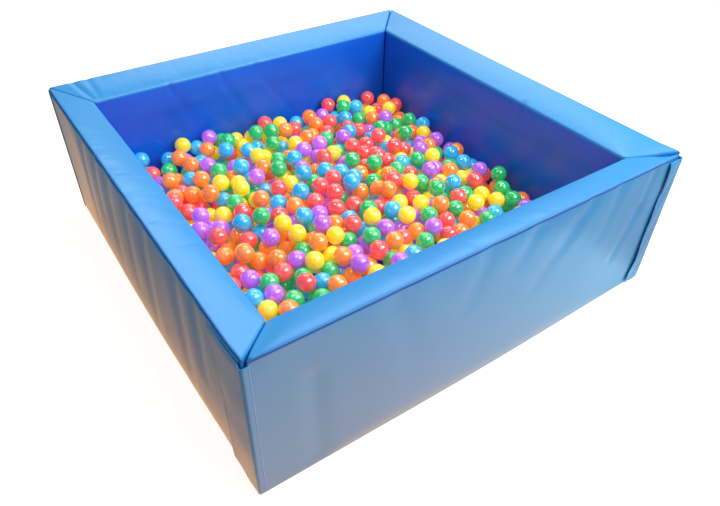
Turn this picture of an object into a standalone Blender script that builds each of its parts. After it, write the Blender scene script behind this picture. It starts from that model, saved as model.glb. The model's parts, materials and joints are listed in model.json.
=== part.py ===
"""Ball pit: four mitred foam walls in zipped vinyl covers, a floor mat and a heap of plastic balls.

Metres, +Z up. The origin is on the floor at the middle of the pit. The front wall faces -Y, and the right,
back and left walls are the same wall turned about +Z by one, two and three quarter turns.
"""

import math
from dataclasses import dataclass

import bmesh
import bpy
import numpy as np
from mathutils import Matrix, Vector
from mathutils.geometry import delaunay_2d_cdt

# The pit
SIDE = 1.80                  # outer length of a wall along its top edge
HEIGHT = 0.612               # floor to where the outer and top faces would meet
WALL_THICKNESS = 0.14
RIM_FALL = 0.046             # how far the top face falls towards the inside
EDGE_DEPTH = 0.006           # how much the rounding takes off every edge of a wall
MITRE_GAP = 0.002            # between the ends of two walls
CLEARANCE = 0.0003           # between pieces that lie on each other

# How the foam pushes the cover out between its edges
OUTER_CROWN = 0.010
INNER_CROWN = 0.003
TOP_CROWN = 0.003
CROWN_LEVEL_SHARE = 0.25     # height of the outer crown's fullest line
WALL_STATION_SHARES = (-0.8, -0.48, -0.16, 0.16, 0.48, 0.8)
WALL_LEVEL_SHARES = (0.3, 0.6, 0.82)

# Covers and foam
COVER_GAUGE = 0.0008
CORE_GAP = 0.00095           # between a cover and the foam in it

# Zips, set up into the foam so that they stay off the floor
ZIP_INSET = 0.045            # outer face to the middle of the zip
ZIP_SLOT_WIDTH = 0.022
ZIP_END_MARGIN = 0.11        # inner end of a block to the end of its slot
ZIP_BRIM = 0.008             # how far the tape runs past the slot, where it is sewn
ZIP_RISE = 0.009             # how far the chain lies above the brim
ZIP_TAPE_GAUGE = 0.001
CHAIN_WIDTH = 0.006
CHAIN_DEPTH = 0.0015
SLIDER_LENGTH = 0.020
SLIDER_WIDTH = 0.011
SLIDER_DEPTH = 0.0035
PULL_LENGTH = 0.030
PULL_WIDTH = 0.007
PULL_GAUGE = 0.0008
PULL_INSET = 0.005           # slider's end to the pull's
SLIDER_CORNER_RADIUS = 0.0035

# Closing flaps and their hook-and-loop tape
WIDE_FLAP = 0.180            # outer corner to the flap's free edge, on the front and back walls
NARROW_FLAP = 0.075          # and on the side walls
FLAP_GAUGE = 0.0015
FLAP_FOOT = 0.012            # floor to the flap's lower edge
FLAP_HEAD = 0.018            # flap's upper edge to the top of the wall
FLAP_CORNER_RADIUS = 0.012
HEM_WIDTH = 0.020
HEM_GAUGE = 0.0015
TAPE_GAUGE = 0.0012
TAPE_WIDTH = 0.050
TAPE_INSET = 0.007           # flap's free edge to the tape
TAPE_MARGIN = 0.016          # tape's ends to the flap's

# Floor mat
MAT_THICKNESS = 0.05
MAT_CLEARANCE = 0.0004       # mat to the inner face of a wall
MAT_EDGE_DEPTH = 0.003

# Balls
BALL_DIAMETER = 0.075
BALL_PLAY = 0.0006           # between two balls
WALL_PLAY = 0.0015           # ball or bed to the fullest line of a wall
PLAN_COVER_SHARE = 0.742     # of the floor's area, seen from above
HEAP_LEVEL = 0.225           # height of the balls' centres along the walls
HEAP_MOUND = 0.060           # more in the middle
HEAP_SIDE_FALL = 0.030       # less at the right wall
HEAP_BACK_RISE = 0.012       # more at the back wall, less at the front
BALL_RELIEF = 0.013          # one ball above or below the heap's surface
DOME_RING_SHARES = ((0.55, 5), (0.92, 6))                  # out from the ball's axis, and points
SEAT_RING_SHARES = ((0.55, -0.93, 6), (1.04, -0.65, 8))    # out, up from the centre, and points
SEAT_MARGIN = 0.003          # seat of a loose ball to the domes round it
POCKET_SHARE = 1.0           # least room for a pocket among three balls
POCKET_DEPTH_SHARE = 0.35    # pocket under the lowest of its balls' centres
RIM_MARGIN = 0.002           # heap's edge to the nearest dome's points
SETTLE_STEPS = 700
SETTLE_SHARE = 0.9           # of an overlap that one step takes away
STEEPEST_SHARE = 0.3         # of a ball's width, the least plan distance that a push reckons with
SETTLED = 0.0002             # overlap at which the balls have settled
LOOSE_BALLS = 12
LOOSE_SPACING = 0.28         # least distance between two loose balls
SEED = 7

CUT_TOLERANCE = 0.000001
ALONG_SHARE = 0.9            # of an edge's length that runs along an axis, for one that lies along it

FLAP_WIDTHS = {"front": WIDE_FLAP, "right": NARROW_FLAP, "back": WIDE_FLAP, "left": NARROW_FLAP}

BALL_COLORS = {
    "red": (0.80, 0.07, 0.07),
    "orange": (0.92, 0.20, 0.03),
    "yellow": (0.95, 0.62, 0.01),
    "green": (0.01, 0.30, 0.08),
    "blue": (0.02, 0.30, 0.68),
    "purple": (0.37, 0.09, 0.60),
}
VINYL_BLUE = (0.01, 0.10, 0.58)
FOAM_WHITE = (0.80, 0.79, 0.74)
TAPE_BLUE = (0.01, 0.05, 0.25)
ZIP_BLACK = (0.02, 0.02, 0.03)
SLIDER_GREY = (0.45, 0.45, 0.47)

MITRE_SETBACK = MITRE_GAP / math.sqrt(2)
INNER_SIDE = SIDE - 2 * WALL_THICKNESS
MAT_SIDE = INNER_SIDE - 2 * MAT_CLEARANCE
BALL_RADIUS = BALL_DIAMETER / 2


@dataclass
class Block:
    """A foam block: its outer face is y = 0, its inner face y = thickness, and it stands on z = 0."""

    outer_length: float
    inner_length: float
    thickness: float
    height: float
    fall: float
    edge_depth: float
    crowned: bool

    @property
    def slot_half(self):
        return self.inner_length / 2 - ZIP_END_MARGIN


WALL = Block(
    outer_length=SIDE - 2 * MITRE_SETBACK,
    inner_length=INNER_SIDE - 2 * MITRE_SETBACK,
    thickness=WALL_THICKNESS,
    height=HEIGHT,
    fall=RIM_FALL,
    edge_depth=EDGE_DEPTH,
    crowned=True,
)
MAT = Block(
    outer_length=MAT_SIDE,
    inner_length=MAT_SIDE,
    thickness=MAT_SIDE,
    height=MAT_THICKNESS,
    fall=0,
    edge_depth=MAT_EDGE_DEPTH,
    crowned=False,
)


def clear_scene():
    for old in list(bpy.data.objects):
        bpy.data.objects.remove(old, do_unlink=True)


def new_collection(name):
    group = bpy.data.collections.new(name)
    bpy.context.scene.collection.children.link(group)
    return group


def material(name, color, roughness, metallic=0.0):
    made = bpy.data.materials.new(name)
    made.use_nodes = True
    made.diffuse_color = (*color, 1.0)
    shader = made.node_tree.nodes["Principled BSDF"]
    shader.inputs["Base Color"].default_value = (*color, 1.0)
    shader.inputs["Roughness"].default_value = roughness
    shader.inputs["Metallic"].default_value = metallic
    return made


def add_empty(name, parent=None, location=(0, 0, 0), turn=0.0):
    empty = bpy.data.objects.new(name, None)
    empty.location = location
    empty.rotation_euler = (0, 0, turn)
    empty.parent = parent
    PIT.objects.link(empty)
    return empty


def add_object(name, bm, made, parent, group=None):
    """Turn a bmesh into a named object with its own material."""
    mesh = bpy.data.meshes.new(name)
    bm.to_mesh(mesh)
    bm.free()
    placed = bpy.data.objects.new(name, mesh)
    placed.parent = parent
    mesh.materials.append(made)
    (group or PIT).objects.link(placed)
    return placed


def box_mesh(low, high):
    """A box between two corners."""
    bm = bmesh.new()
    bmesh.ops.create_cube(bm, size=1)
    low, high = Vector(low), Vector(high)
    bmesh.ops.scale(bm, vec=high - low, verts=bm.verts)
    bmesh.ops.translate(bm, vec=(low + high) / 2, verts=bm.verts)
    return bm


def bevel(bm, edges, offset, segments, kind="OFFSET"):
    bmesh.ops.bevel(
        bm, geom=edges, offset=offset, offset_type=kind, segments=segments, profile=0.5, affect="EDGES",
        clamp_overlap=True, material=-1,
    )


def cut(bm, faces, normal, distance):
    """Split the given faces by a plane at a distance from the origin along its normal."""
    edges = {e for f in faces for e in f.edges}
    verts = {v for f in faces for v in f.verts}
    normal = Vector(normal)
    bmesh.ops.bisect_plane(
        bm, geom=[*verts, *edges, *faces], dist=CUT_TOLERANCE, plane_co=normal * distance, plane_no=normal
    )


def hump(share):
    """A parabola that rises from 0 to 1 and back as the share goes from 0 to 1."""
    return 4 * share * (1 - share)


def outer_bulge(along_share):
    """How far the outer face stands out at a share of the half length from the middle of the wall."""
    return OUTER_CROWN * (1 - along_share**2) ** 2


def crowned(point):
    """Where a point of a flat-sided wall lies once the foam fills its cover."""
    x, y, z = point
    along = min(abs(x) / (WALL.outer_length / 2), 1)
    depth = y / WALL.thickness
    level = CROWN_LEVEL_SHARE * HEIGHT
    out = outer_bulge(along) * (1 - ((z - level) / (HEIGHT - level)) ** 2) * (1 - depth)
    flat_to = WALL_LEVEL_SHARES[0] * HEIGHT
    rise = (z - flat_to) / (HEIGHT - RIM_FALL - flat_to)
    rise = min(max(rise, 0), 1)
    inward = INNER_CROWN * (1 - along**2) ** 2 * hump(rise) * depth
    up = TOP_CROWN * (1 - along**2) ** 2 * hump(depth) * z / HEIGHT
    return Vector((x, y - out + inward, z + up))


def block_mesh(block, inset, segments):
    """The block, each face set in by the same distance, with rounded edges and its crown."""
    mitre = (block.outer_length - block.inner_length) / 2 / block.thickness
    tilt = block.fall / block.thickness
    bm = bmesh.new()
    bmesh.ops.create_cube(bm, size=2)
    for vert in bm.verts:
        end, face, level = vert.co
        y = inset if face < 0 else block.thickness - inset
        half = block.outer_length / 2 - mitre * y - inset * math.hypot(1, mitre)
        top = block.height - tilt * y - inset * math.hypot(1, tilt)
        vert.co = (end * half, y, top if level > 0 else inset)
    bevel(bm, bm.edges[:], block.edge_depth, segments, "DEPTH")
    if block.crowned:
        for share in WALL_STATION_SHARES:
            cut(bm, bm.faces[:], (1, 0, 0), share * block.inner_length / 2)
        for share in WALL_LEVEL_SHARES:
            cut(bm, bm.faces[:], (0, 0, 1), share * block.height)
        cut(bm, bm.faces[:], (0, 1, 0), block.thickness / 2)
        for vert in bm.verts:
            vert.co = crowned(vert.co)
    return bm


def open_slot(bm, block):
    """Cut the zip's slot in the underside."""
    def underside():
        return [f for f in bm.faces if all(abs(v.co.z) < CUT_TOLERANCE for v in f.verts)]

    half = ZIP_SLOT_WIDTH / 2
    for y in (ZIP_INSET - half, ZIP_INSET + half):
        cut(bm, underside(), (0, 1, 0), y)
    for x in (-block.slot_half, block.slot_half):
        cut(bm, underside(), (1, 0, 0), x)
    slot = []
    for face in underside():
        middle = face.calc_center_median()
        if abs(middle.x) < block.slot_half and abs(middle.y - ZIP_INSET) < half:
            slot.append(face)
    bmesh.ops.delete(bm, geom=slot, context="FACES")


def shift_out(bm, block):
    """Move a block from its own frame to its place: the outer face at y = -outer_length / 2."""
    bmesh.ops.translate(bm, vec=(0, block_front(block), 0), verts=bm.verts)
    bmesh.ops.triangulate(bm, faces=bm.faces[:])


def block_front(block):
    return -SIDE / 2 if block is WALL else -block.thickness / 2


def add_cover(name, block, parent):
    """The vinyl cover: one open skin with the zip's slot, thickened inwards."""
    bm = block_mesh(block, 0, 2)
    open_slot(bm, block)
    shift_out(bm, block)
    cover = add_object(name, bm, material(name, VINYL_BLUE, 0.35), parent)
    skin = cover.modifiers.new("gauge", "SOLIDIFY")
    skin.thickness = COVER_GAUGE
    skin.offset = -1
    skin.use_even_offset = True
    return cover


def add_foam(name, block, parent):
    """The foam block, with a groove for the zip."""
    bm = block_mesh(block, COVER_GAUGE + CORE_GAP, 1)
    shift_out(bm, block)
    foam = add_object(name, bm, material(name, FOAM_WHITE, 0.9), parent)
    reach = ZIP_SLOT_WIDTH / 2 + ZIP_BRIM + CORE_GAP
    roof = COVER_GAUGE + ZIP_RISE + 2 * ZIP_TAPE_GAUGE + CORE_GAP
    middle = block_front(block) + ZIP_INSET
    low = (-block.outer_length, middle - reach, -roof)
    high = (block.outer_length, middle + reach, roof)
    add_tool(foam, name + "_groove", box_mesh(low, high), parent, "DIFFERENCE")
    return foam


def add_zip(name, block, parent):
    """The zip's tape, a raised channel over the slot, with its chain under the channel's roof."""
    middle = block_front(block) + ZIP_INSET
    wall = ZIP_SLOT_WIDTH / 2
    brim = wall + ZIP_BRIM
    low = COVER_GAUGE + CLEARANCE
    roof = low + ZIP_RISE
    outside = [(brim, low), (brim, low + ZIP_TAPE_GAUGE), (wall + ZIP_TAPE_GAUGE, low + ZIP_TAPE_GAUGE),
               (wall + ZIP_TAPE_GAUGE, roof + ZIP_TAPE_GAUGE)]
    inside = [(CHAIN_WIDTH / 2, roof - CHAIN_DEPTH), (CHAIN_WIDTH / 2, roof), (wall, roof), (wall, low)]
    right = inside + outside
    left = [(-y, z) for y, z in reversed(right)]
    half = block.slot_half + ZIP_BRIM
    bm = bmesh.new()
    section = bm.faces.new([bm.verts.new((-half, middle + y, z)) for y, z in right + left])
    swept = bmesh.ops.extrude_face_region(bm, geom=[section])["geom"]
    bmesh.ops.translate(bm, vec=(2 * half, 0, 0), verts=[v for v in swept if isinstance(v, bmesh.types.BMVert)])
    bmesh.ops.recalc_face_normals(bm, faces=bm.faces[:])
    bmesh.ops.triangulate(bm, faces=bm.faces[:])
    return add_object(name, bm, material(name, ZIP_BLACK, 0.6), parent)


def chain_underside():
    return COVER_GAUGE + CLEARANCE + ZIP_RISE - CHAIN_DEPTH


def add_slider(name, block, parent):
    """The slider under the chain at the closed end, with its pull lying under it."""
    start = -block.slot_half + PULL_LENGTH
    place = add_empty(name + "_at_closed_end", parent, (start, block_front(block) + ZIP_INSET, chain_underside()))
    bm = box_mesh(
        (-SLIDER_LENGTH / 2, -SLIDER_WIDTH / 2, -CLEARANCE - SLIDER_DEPTH),
        (SLIDER_LENGTH / 2, SLIDER_WIDTH / 2, -CLEARANCE),
    )
    bevel(bm, [e for e in bm.edges if is_along(e, 2)], SLIDER_CORNER_RADIUS, 2)
    slider = add_object(name, bm, material(name, SLIDER_GREY, 0.35, 1.0), place)
    under = -CLEARANCE - SLIDER_DEPTH
    foot = PULL_INSET - SLIDER_LENGTH / 2
    tab = box_mesh(
        (foot, -PULL_WIDTH / 2, under - PULL_GAUGE / 2),
        (foot + PULL_LENGTH, PULL_WIDTH / 2, under + PULL_GAUGE / 2),
    )
    add_tool(slider, name + "_pull", tab, place, "UNION")
    return slider


def add_tool(target, name, bm, parent, operation):
    """Cut a shape out of an object, or join it on, with a Boolean modifier."""
    tool = add_object(name, bm, material(name, SLIDER_GREY, 0.35), parent, CUTTERS)
    tool.hide_render = True
    tool.display_type = "WIRE"
    change = target.modifiers.new(name, "BOOLEAN")
    change.operation = operation
    change.object = tool


def tape_standoff(width):
    """Wall's outer plane to the near side of the loop tape, past the bulge under a flap of that width."""
    station = WALL_STATION_SHARES[-1] * WALL.inner_length / WALL.outer_length
    rise = outer_bulge(station) / ((1 - station) * SIDE / 2)
    return rise * width + CLEARANCE


def tape_start(width):
    """Outer corner to the tapes of a flap of that width."""
    return width - TAPE_INSET - TAPE_WIDTH


def flap_hinge(width):
    """The corner line that a flap of that width turns about, in its own wall's frame."""
    plane = tape_standoff(width) + 2 * TAPE_GAUGE + 2 * CLEARANCE + FLAP_GAUGE / 2
    return Vector((-SIDE / 2 - plane, -SIDE / 2 - CLEARANCE - HEM_GAUGE / 2, 0))


def add_flap(name, width, hinge):
    """The flap round the outer corner, lying along the next wall from the hinge line."""
    far = -SIDE / 2 + width - flap_hinge(width).y
    top = HEIGHT - FLAP_HEAD
    bm = box_mesh((-FLAP_GAUGE / 2, -FLAP_GAUGE / 2, FLAP_FOOT), (FLAP_GAUGE / 2, far, top))
    corners = [e for e in bm.edges if all(v.co.y > far / 2 for v in e.verts) and is_along(e, 0)]
    bevel(bm, corners, FLAP_CORNER_RADIUS, 3)
    root = [e for e in bm.edges if all(v.co.y < 0 for v in e.verts) and is_along(e, 2)]
    bevel(bm, root, FLAP_GAUGE / 2 - CUT_TOLERANCE, 2)
    return add_object(name, bm, material(name, VINYL_BLUE, 0.35), hinge)


def is_along(edge, axis):
    span = edge.verts[1].co - edge.verts[0].co
    return abs(span[axis]) > ALONG_SHARE * span.length


def add_hook_tape(name, width, hinge):
    """The hook tape on the inner side of the flap."""
    axis = flap_hinge(width)
    near = -SIDE / 2 - tape_standoff(width) - TAPE_GAUGE - CLEARANCE - axis.x
    start = -SIDE / 2 + tape_start(width) - axis.y
    low = (near - TAPE_GAUGE, start, FLAP_FOOT + TAPE_MARGIN)
    high = (near, start + TAPE_WIDTH, HEIGHT - FLAP_HEAD - TAPE_MARGIN)
    return add_object(name, box_mesh(low, high), material(name, TAPE_BLUE, 0.95), hinge)


def add_loop_tape(name, width, wall):
    """The loop tape on the wall's other end, under the next wall's flap of that width."""
    near = -SIDE / 2 - tape_standoff(width)
    far_end = SIDE / 2 - tape_start(width)
    low = (far_end - TAPE_WIDTH, near - TAPE_GAUGE, FLAP_FOOT + TAPE_MARGIN)
    high = (far_end, near, HEIGHT - FLAP_HEAD - TAPE_MARGIN)
    return add_object(name, box_mesh(low, high), material(name, TAPE_BLUE, 0.95), wall)


def add_flap_hem(name, width, wall):
    """The strip of the flap that is sewn to its own wall."""
    axis = flap_hinge(width)
    low = (axis.x + FLAP_GAUGE / 2 + CLEARANCE, axis.y - HEM_GAUGE / 2, FLAP_FOOT)
    high = (-SIDE / 2 + HEM_WIDTH, axis.y + HEM_GAUGE / 2, HEIGHT - FLAP_HEAD)
    return add_object(name, box_mesh(low, high), material(name, VINYL_BLUE, 0.35), wall)


def add_wall(side, quarter_turns, flap_width, next_flap_width):
    """One wall with its cover, foam, zip, flap and tapes."""
    name = side + "_wall"
    wall = add_empty(name, turn=quarter_turns * math.pi / 2)
    add_cover(name + "_cover", WALL, wall)
    add_foam(name + "_foam", WALL, wall)
    add_zip(name + "_zip", WALL, wall)
    add_slider(name + "_zip_slider", WALL, wall)
    add_flap_hem(name + "_flap_hem", flap_width, wall)
    add_loop_tape(name + "_loop_tape", next_flap_width, wall)
    hinge = add_empty(name + "_flap_hinge", wall, flap_hinge(flap_width))
    add_flap(name + "_flap", flap_width, hinge)
    add_hook_tape(name + "_hook_tape", flap_width, hinge)


def add_mat():
    """The floor mat between the walls."""
    mat = add_empty("floor_mat")
    add_cover("floor_mat_cover", MAT, mat)
    add_foam("floor_mat_foam", MAT, mat)
    add_zip("floor_mat_zip", MAT, mat)
    add_slider("floor_mat_zip_slider", MAT, mat)


def heap_height(plan):
    """Height of the heap's surface, at the balls' centres."""
    u, v = (plan / (INNER_SIDE / 2)).T
    mound = HEAP_MOUND * (1 - u**2) * (1 - v**2)
    return HEAP_LEVEL + mound - HEAP_SIDE_FALL * np.clip(u, 0, 1) + HEAP_BACK_RISE * v


def settled_balls(rng):
    """Centres of the balls of the top layer: scattered, then pushed apart until none overlap."""
    reach = INNER_SIDE / 2 - INNER_CROWN - WALL_PLAY - BALL_RADIUS
    count = round(PLAN_COVER_SHARE * INNER_SIDE**2 / (math.pi * BALL_RADIUS**2))
    plan = rng.uniform(-1, 1, (count, 2)) * reach
    relief = rng.uniform(-1, 1, count) * BALL_RELIEF
    apart = BALL_DIAMETER + BALL_PLAY + SETTLED
    for _ in range(SETTLE_STEPS):
        centres = np.column_stack([plan, heap_height(plan) + relief])
        span = centres[:, None] - centres[None]
        distance = np.linalg.norm(span, axis=2)
        np.fill_diagonal(distance, BALL_DIAMETER * 2)
        overlap = np.clip(apart - distance, 0, None)
        if overlap.max() < SETTLED:
            break
        flat = np.linalg.norm(span[..., :2], axis=2)
        np.fill_diagonal(flat, BALL_DIAMETER)
        push = overlap * distance / np.maximum(flat, STEEPEST_SHARE * BALL_DIAMETER) / flat
        plan = plan + SETTLE_SHARE / 2 * (push[..., None] * span[..., :2]).sum(axis=1)
        plan = np.clip(plan, -reach, reach)
    return centres


def pick_loose(centres):
    """Balls that can be lifted straight off: none of those round them is higher."""
    picked = []
    for index, ball in enumerate(centres):
        flat = np.linalg.norm(centres[:, :2] - ball[:2], axis=1)
        close = flat < BALL_DIAMETER + BALL_PLAY
        close[index] = False
        on_top = not close.any() or centres[close, 2].max() < ball[2]
        on_top = on_top and np.abs(ball[:2]).max() < INNER_SIDE / 2 - BALL_DIAMETER
        far = all(np.linalg.norm(centres[other, :2] - ball[:2]) > LOOSE_SPACING for other in picked)
        if on_top and far:
            picked.append(index)
        if len(picked) == LOOSE_BALLS:
            break
    return picked


def ring(centre, reach, rise, count, turn):
    """Points round a ball's axis, at shares of its radius out from it and above its centre."""
    points = []
    for step in range(count):
        angle = turn + math.tau * step / count
        out = reach * BALL_RADIUS
        points.append((centre[0] + out * math.cos(angle), centre[1] + out * math.sin(angle),
                       centre[2] + rise * BALL_RADIUS))
    return points


def dome_points(centre, turn):
    """The upper half of a ball as an apex and two rings."""
    points = ring(centre, 0, 1, 1, 0)
    for reach, count in DOME_RING_SHARES:
        points += ring(centre, reach, math.sqrt(1 - reach**2), count, turn + reach)
    return points


def seat_points(centre, turn):
    """A dish that a loose ball rests in."""
    lowest = centre - np.array([0, 0, CLEARANCE])
    points = ring(lowest, 0, -1, 1, 0)
    for reach, rise, count in SEAT_RING_SHARES:
        points += ring(lowest, reach, rise, count, turn)
    return points


def highest_only(points, balls, owners):
    """Drop the points that lie under another ball's dome."""
    kept = []
    for point, owner in zip(points, owners):
        flat = np.hypot(balls[:, 0] - point[0], balls[:, 1] - point[1])
        flat[owner] = BALL_DIAMETER
        over = flat < BALL_RADIUS
        dome = balls[over, 2] + np.sqrt(BALL_RADIUS**2 - flat[over] ** 2)
        if not over.any() or dome.max() < point[2]:
            kept.append(point)
    return kept


def pocket_points(balls):
    """The pits among three balls that lie side by side."""
    flat = [Vector(ball[:2]) for ball in balls]
    points = []
    for triangle in delaunay_2d_cdt(flat, [], [], 0, CUT_TOLERANCE)[2]:
        a, b, c = (flat[i] for i in triangle)
        middle = (a + b + c) / 3
        if min((middle - corner).length for corner in (a, b, c)) > POCKET_SHARE * BALL_RADIUS:
            level = min(balls[i][2] for i in triangle)
            points.append((middle.x, middle.y, level - POCKET_DEPTH_SHARE * BALL_RADIUS))
    return points


def rim_points(balls):
    """The heap's edge along the walls, a little under the balls there."""
    half = INNER_SIDE / 2 - INNER_CROWN - WALL_PLAY
    steps = np.linspace(-half, half, round(2 * half / BALL_DIAMETER) + 1)[:-1]
    edge = np.full_like(steps, half)
    plan = np.vstack([
        np.column_stack([steps, -edge]), np.column_stack([edge, steps]),
        np.column_stack([-steps, edge]), np.column_stack([-edge, -steps]),
    ])
    distance = np.linalg.norm(plan[:, None] - balls[None, :, :2], axis=2)
    level = balls[distance.argmin(axis=1), 2] - POCKET_DEPTH_SHARE * BALL_RADIUS
    return [tuple(point) for point in np.column_stack([plan, level])]


def closed_loop(first, count):
    """The edges that join a run of points into a loop."""
    return [(first + i, first + (i + 1) % count) for i in range(count)]


def add_heap(centres, loose, turns, heap):
    """All balls but the loose ones as one body: domes on top, and flat where it rests on the mat."""
    fixed = [i for i in range(len(centres)) if i not in loose]
    balls = centres[fixed]
    rim = rim_points(balls)
    seats = [seat_points(centres[i], turns[i]) for i in loose]
    points, owners = [], []
    for place, i in enumerate(fixed):
        dome = dome_points(centres[i], turns[i])
        points += dome
        owners += [place] * len(dome)
    points = highest_only(points, balls, owners) + pocket_points(balls)
    for i in loose:
        keep_off = SEAT_RING_SHARES[-1][0] * BALL_RADIUS + SEAT_MARGIN
        points = [p for p in points if math.hypot(p[0] - centres[i][0], p[1] - centres[i][1]) > keep_off]
    inside = max(point[0] for point in rim) - RIM_MARGIN
    everything = list(rim)
    edges = closed_loop(0, len(rim))
    for seat in seats:
        everything += seat
        brim = SEAT_RING_SHARES[-1][-1]
        edges += closed_loop(len(everything) - brim, brim)
    everything += [p for p in points if max(abs(p[0]), abs(p[1])) < inside]
    flat = [Vector(point[:2]) for point in everything]
    spots, _, triangles, sources, _, _ = delaunay_2d_cdt(flat, edges, [], 1, CUT_TOLERANCE)
    bm = bmesh.new()
    verts = [bm.verts.new((spot.x, spot.y, everything[source[0]][2])) for spot, source in zip(spots, sources)]
    for triangle in triangles:
        bm.faces.new([verts[i] for i in triangle])
    border = [e for e in bm.edges if e.is_boundary]
    dropped = bmesh.ops.extrude_edge_only(bm, edges=border)["geom"]
    for vert in dropped:
        if isinstance(vert, bmesh.types.BMVert):
            vert.co.z = MAT_THICKNESS + CLEARANCE
    bmesh.ops.holes_fill(bm, edges=[e for e in bm.edges if e.is_boundary], sides=0)
    bmesh.ops.recalc_face_normals(bm, faces=bm.faces[:])
    bmesh.ops.triangulate(bm, faces=bm.faces[:])
    return add_object("ball_heap", bm, material("ball_heap", BALL_COLORS["red"], 0.2), heap)


def add_loose_ball(name, centre, turn, color, heap):
    """One ball that lies on the heap and can be picked up."""
    place = add_empty(name + "_seat", heap, centre)
    bm = bmesh.new()
    bmesh.ops.create_icosphere(bm, subdivisions=2, radius=BALL_RADIUS, matrix=Matrix.Rotation(turn, 4, "Z"))
    return add_object(name, bm, material(name, BALL_COLORS[color], 0.2), place)


def mixed_colors(count, rng):
    """A colour name for each ball: every colour as often, in a mixed order."""
    names = list(BALL_COLORS) * math.ceil(count / len(BALL_COLORS))
    return rng.permutation(names[:count])


def add_balls():
    """The heap and the loose balls that lie on it."""
    rng = np.random.default_rng(SEED)
    centres = settled_balls(rng)
    loose = pick_loose(centres)
    colors = mixed_colors(len(loose), rng)
    turns = rng.uniform(0, math.tau, len(centres))
    heap = add_empty("ball_heap_place")
    add_heap(centres, loose, turns, heap)
    for number, (index, color) in enumerate(zip(loose, colors), start=1):
        name = f"loose_ball_{number:02d}"
        centre = centres[index]
        add_loose_ball(name, centre, turns[index], color, heap)
        print(f"{name} {color} at {centre[0]:.4f} {centre[1]:.4f} {centre[2]:.4f}")
    print(f"{len(centres)} balls in the top layer, highest centre {centres[:, 2].max():.4f}")


clear_scene()
PIT = new_collection("ball_pit")
CUTTERS = new_collection("cutters")
SIDES = list(FLAP_WIDTHS)
for turns_made, side_name in enumerate(SIDES):
    next_side = SIDES[(turns_made + 1) % len(SIDES)]
    add_wall(side_name, turns_made, FLAP_WIDTHS[side_name], FLAP_WIDTHS[next_side])
add_mat()
add_balls()
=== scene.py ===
"""Ball pit: padded vinyl walls round foam, their seams and closing flaps, a floor mat and the balls.

Metres, +Z up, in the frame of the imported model. Each wall is made as the front wall, whose outer face looks
along -Y, and is then turned about +Z to its side.
"""
import json
import logging
import math
from dataclasses import dataclass, field, replace
from enum import Enum
from typing import Iterable, Sequence, Union

import bmesh
import bpy
import numpy as np
from mathutils import Matrix, Vector
from mathutils.bvhtree import BVHTree


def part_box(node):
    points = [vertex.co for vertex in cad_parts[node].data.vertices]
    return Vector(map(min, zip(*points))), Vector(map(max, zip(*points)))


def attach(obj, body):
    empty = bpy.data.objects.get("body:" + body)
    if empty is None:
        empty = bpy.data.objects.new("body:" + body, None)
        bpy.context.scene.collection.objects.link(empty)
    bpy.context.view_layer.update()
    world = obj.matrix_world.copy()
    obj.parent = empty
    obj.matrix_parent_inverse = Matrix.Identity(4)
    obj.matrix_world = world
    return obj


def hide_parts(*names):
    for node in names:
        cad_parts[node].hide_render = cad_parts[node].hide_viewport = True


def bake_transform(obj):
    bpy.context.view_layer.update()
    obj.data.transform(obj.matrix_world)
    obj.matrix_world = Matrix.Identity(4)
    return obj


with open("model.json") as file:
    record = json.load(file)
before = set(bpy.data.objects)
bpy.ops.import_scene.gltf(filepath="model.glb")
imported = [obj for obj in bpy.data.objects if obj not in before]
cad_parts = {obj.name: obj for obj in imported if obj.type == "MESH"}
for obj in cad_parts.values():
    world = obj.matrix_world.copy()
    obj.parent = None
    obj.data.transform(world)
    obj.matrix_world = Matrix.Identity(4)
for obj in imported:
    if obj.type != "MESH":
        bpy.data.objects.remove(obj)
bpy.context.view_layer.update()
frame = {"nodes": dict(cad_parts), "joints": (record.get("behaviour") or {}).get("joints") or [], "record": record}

log = logging.getLogger("ball_pit")

Color = tuple[float, float, float]
Place = tuple[float, float, float]
Span = tuple[float, float]
Term = Union["Value", float, tuple]

# Driving sizes of the pit
SIDE = 1.80
HEIGHT = 0.612
THICKNESS = 0.14
RIM_FALL = 0.046
MITRE_GAP = 0.002
EDGE = 0.0085                # how far the rounding of an edge reaches over each face
MAT_THICKNESS = 0.05
ZIP_INSET = 0.045
ZIP_BRIM = 0.008
ZIP_PLAY = 0.001             # room beside the zip in its pocket
BALL_RADIUS = 0.0375
BALL_GAP = 0.0003            # between the mat and the balls
MAT_GAP = 0.0004             # between the mat and the walls
SEED = 7
SAME = 1e-6                  # numbers this close are taken to be equal
ON_FACE = 1e-5               # a point this close to a face lies on it

FRONT = -SIDE / 2
LENGTH = SIDE - MITRE_GAP * math.sqrt(2)
INNER_HALF = SIDE / 2 - THICKNESS


class Side(Enum):
    """The four walls, each with its quarter turns from the front."""

    FRONT = 0
    RIGHT = 1
    BACK = 2
    LEFT = 3

    @property
    def wall(self) -> str:
        """The name of the wall's body."""
        return f"{self.name.lower()}_wall"

    @property
    def turn(self) -> Matrix:
        """The turn that takes the front wall to this side."""
        return Matrix.Rotation(self.value * math.pi / 2, 4, "Z")

    @property
    def before(self) -> "Side":
        """The wall that this wall's flap closes on."""
        return Side((self.value - 1) % len(Side))


class BallColor(Enum):
    """The colours of the balls, as linear light."""

    RED = (0.90, 0.085, 0.078)
    ORANGE = (0.97, 0.235, 0.020)
    YELLOW = (1.0, 0.68, 0.008)
    GREEN = (0.014, 0.47, 0.12)
    BLUE = (0.022, 0.41, 0.76)
    PURPLE = (0.47, 0.130, 0.76)

    @property
    def slot(self) -> str:
        """The record's slot for balls of this colour."""
        return f"ball_{self.name.lower()}"


# Materials


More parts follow.
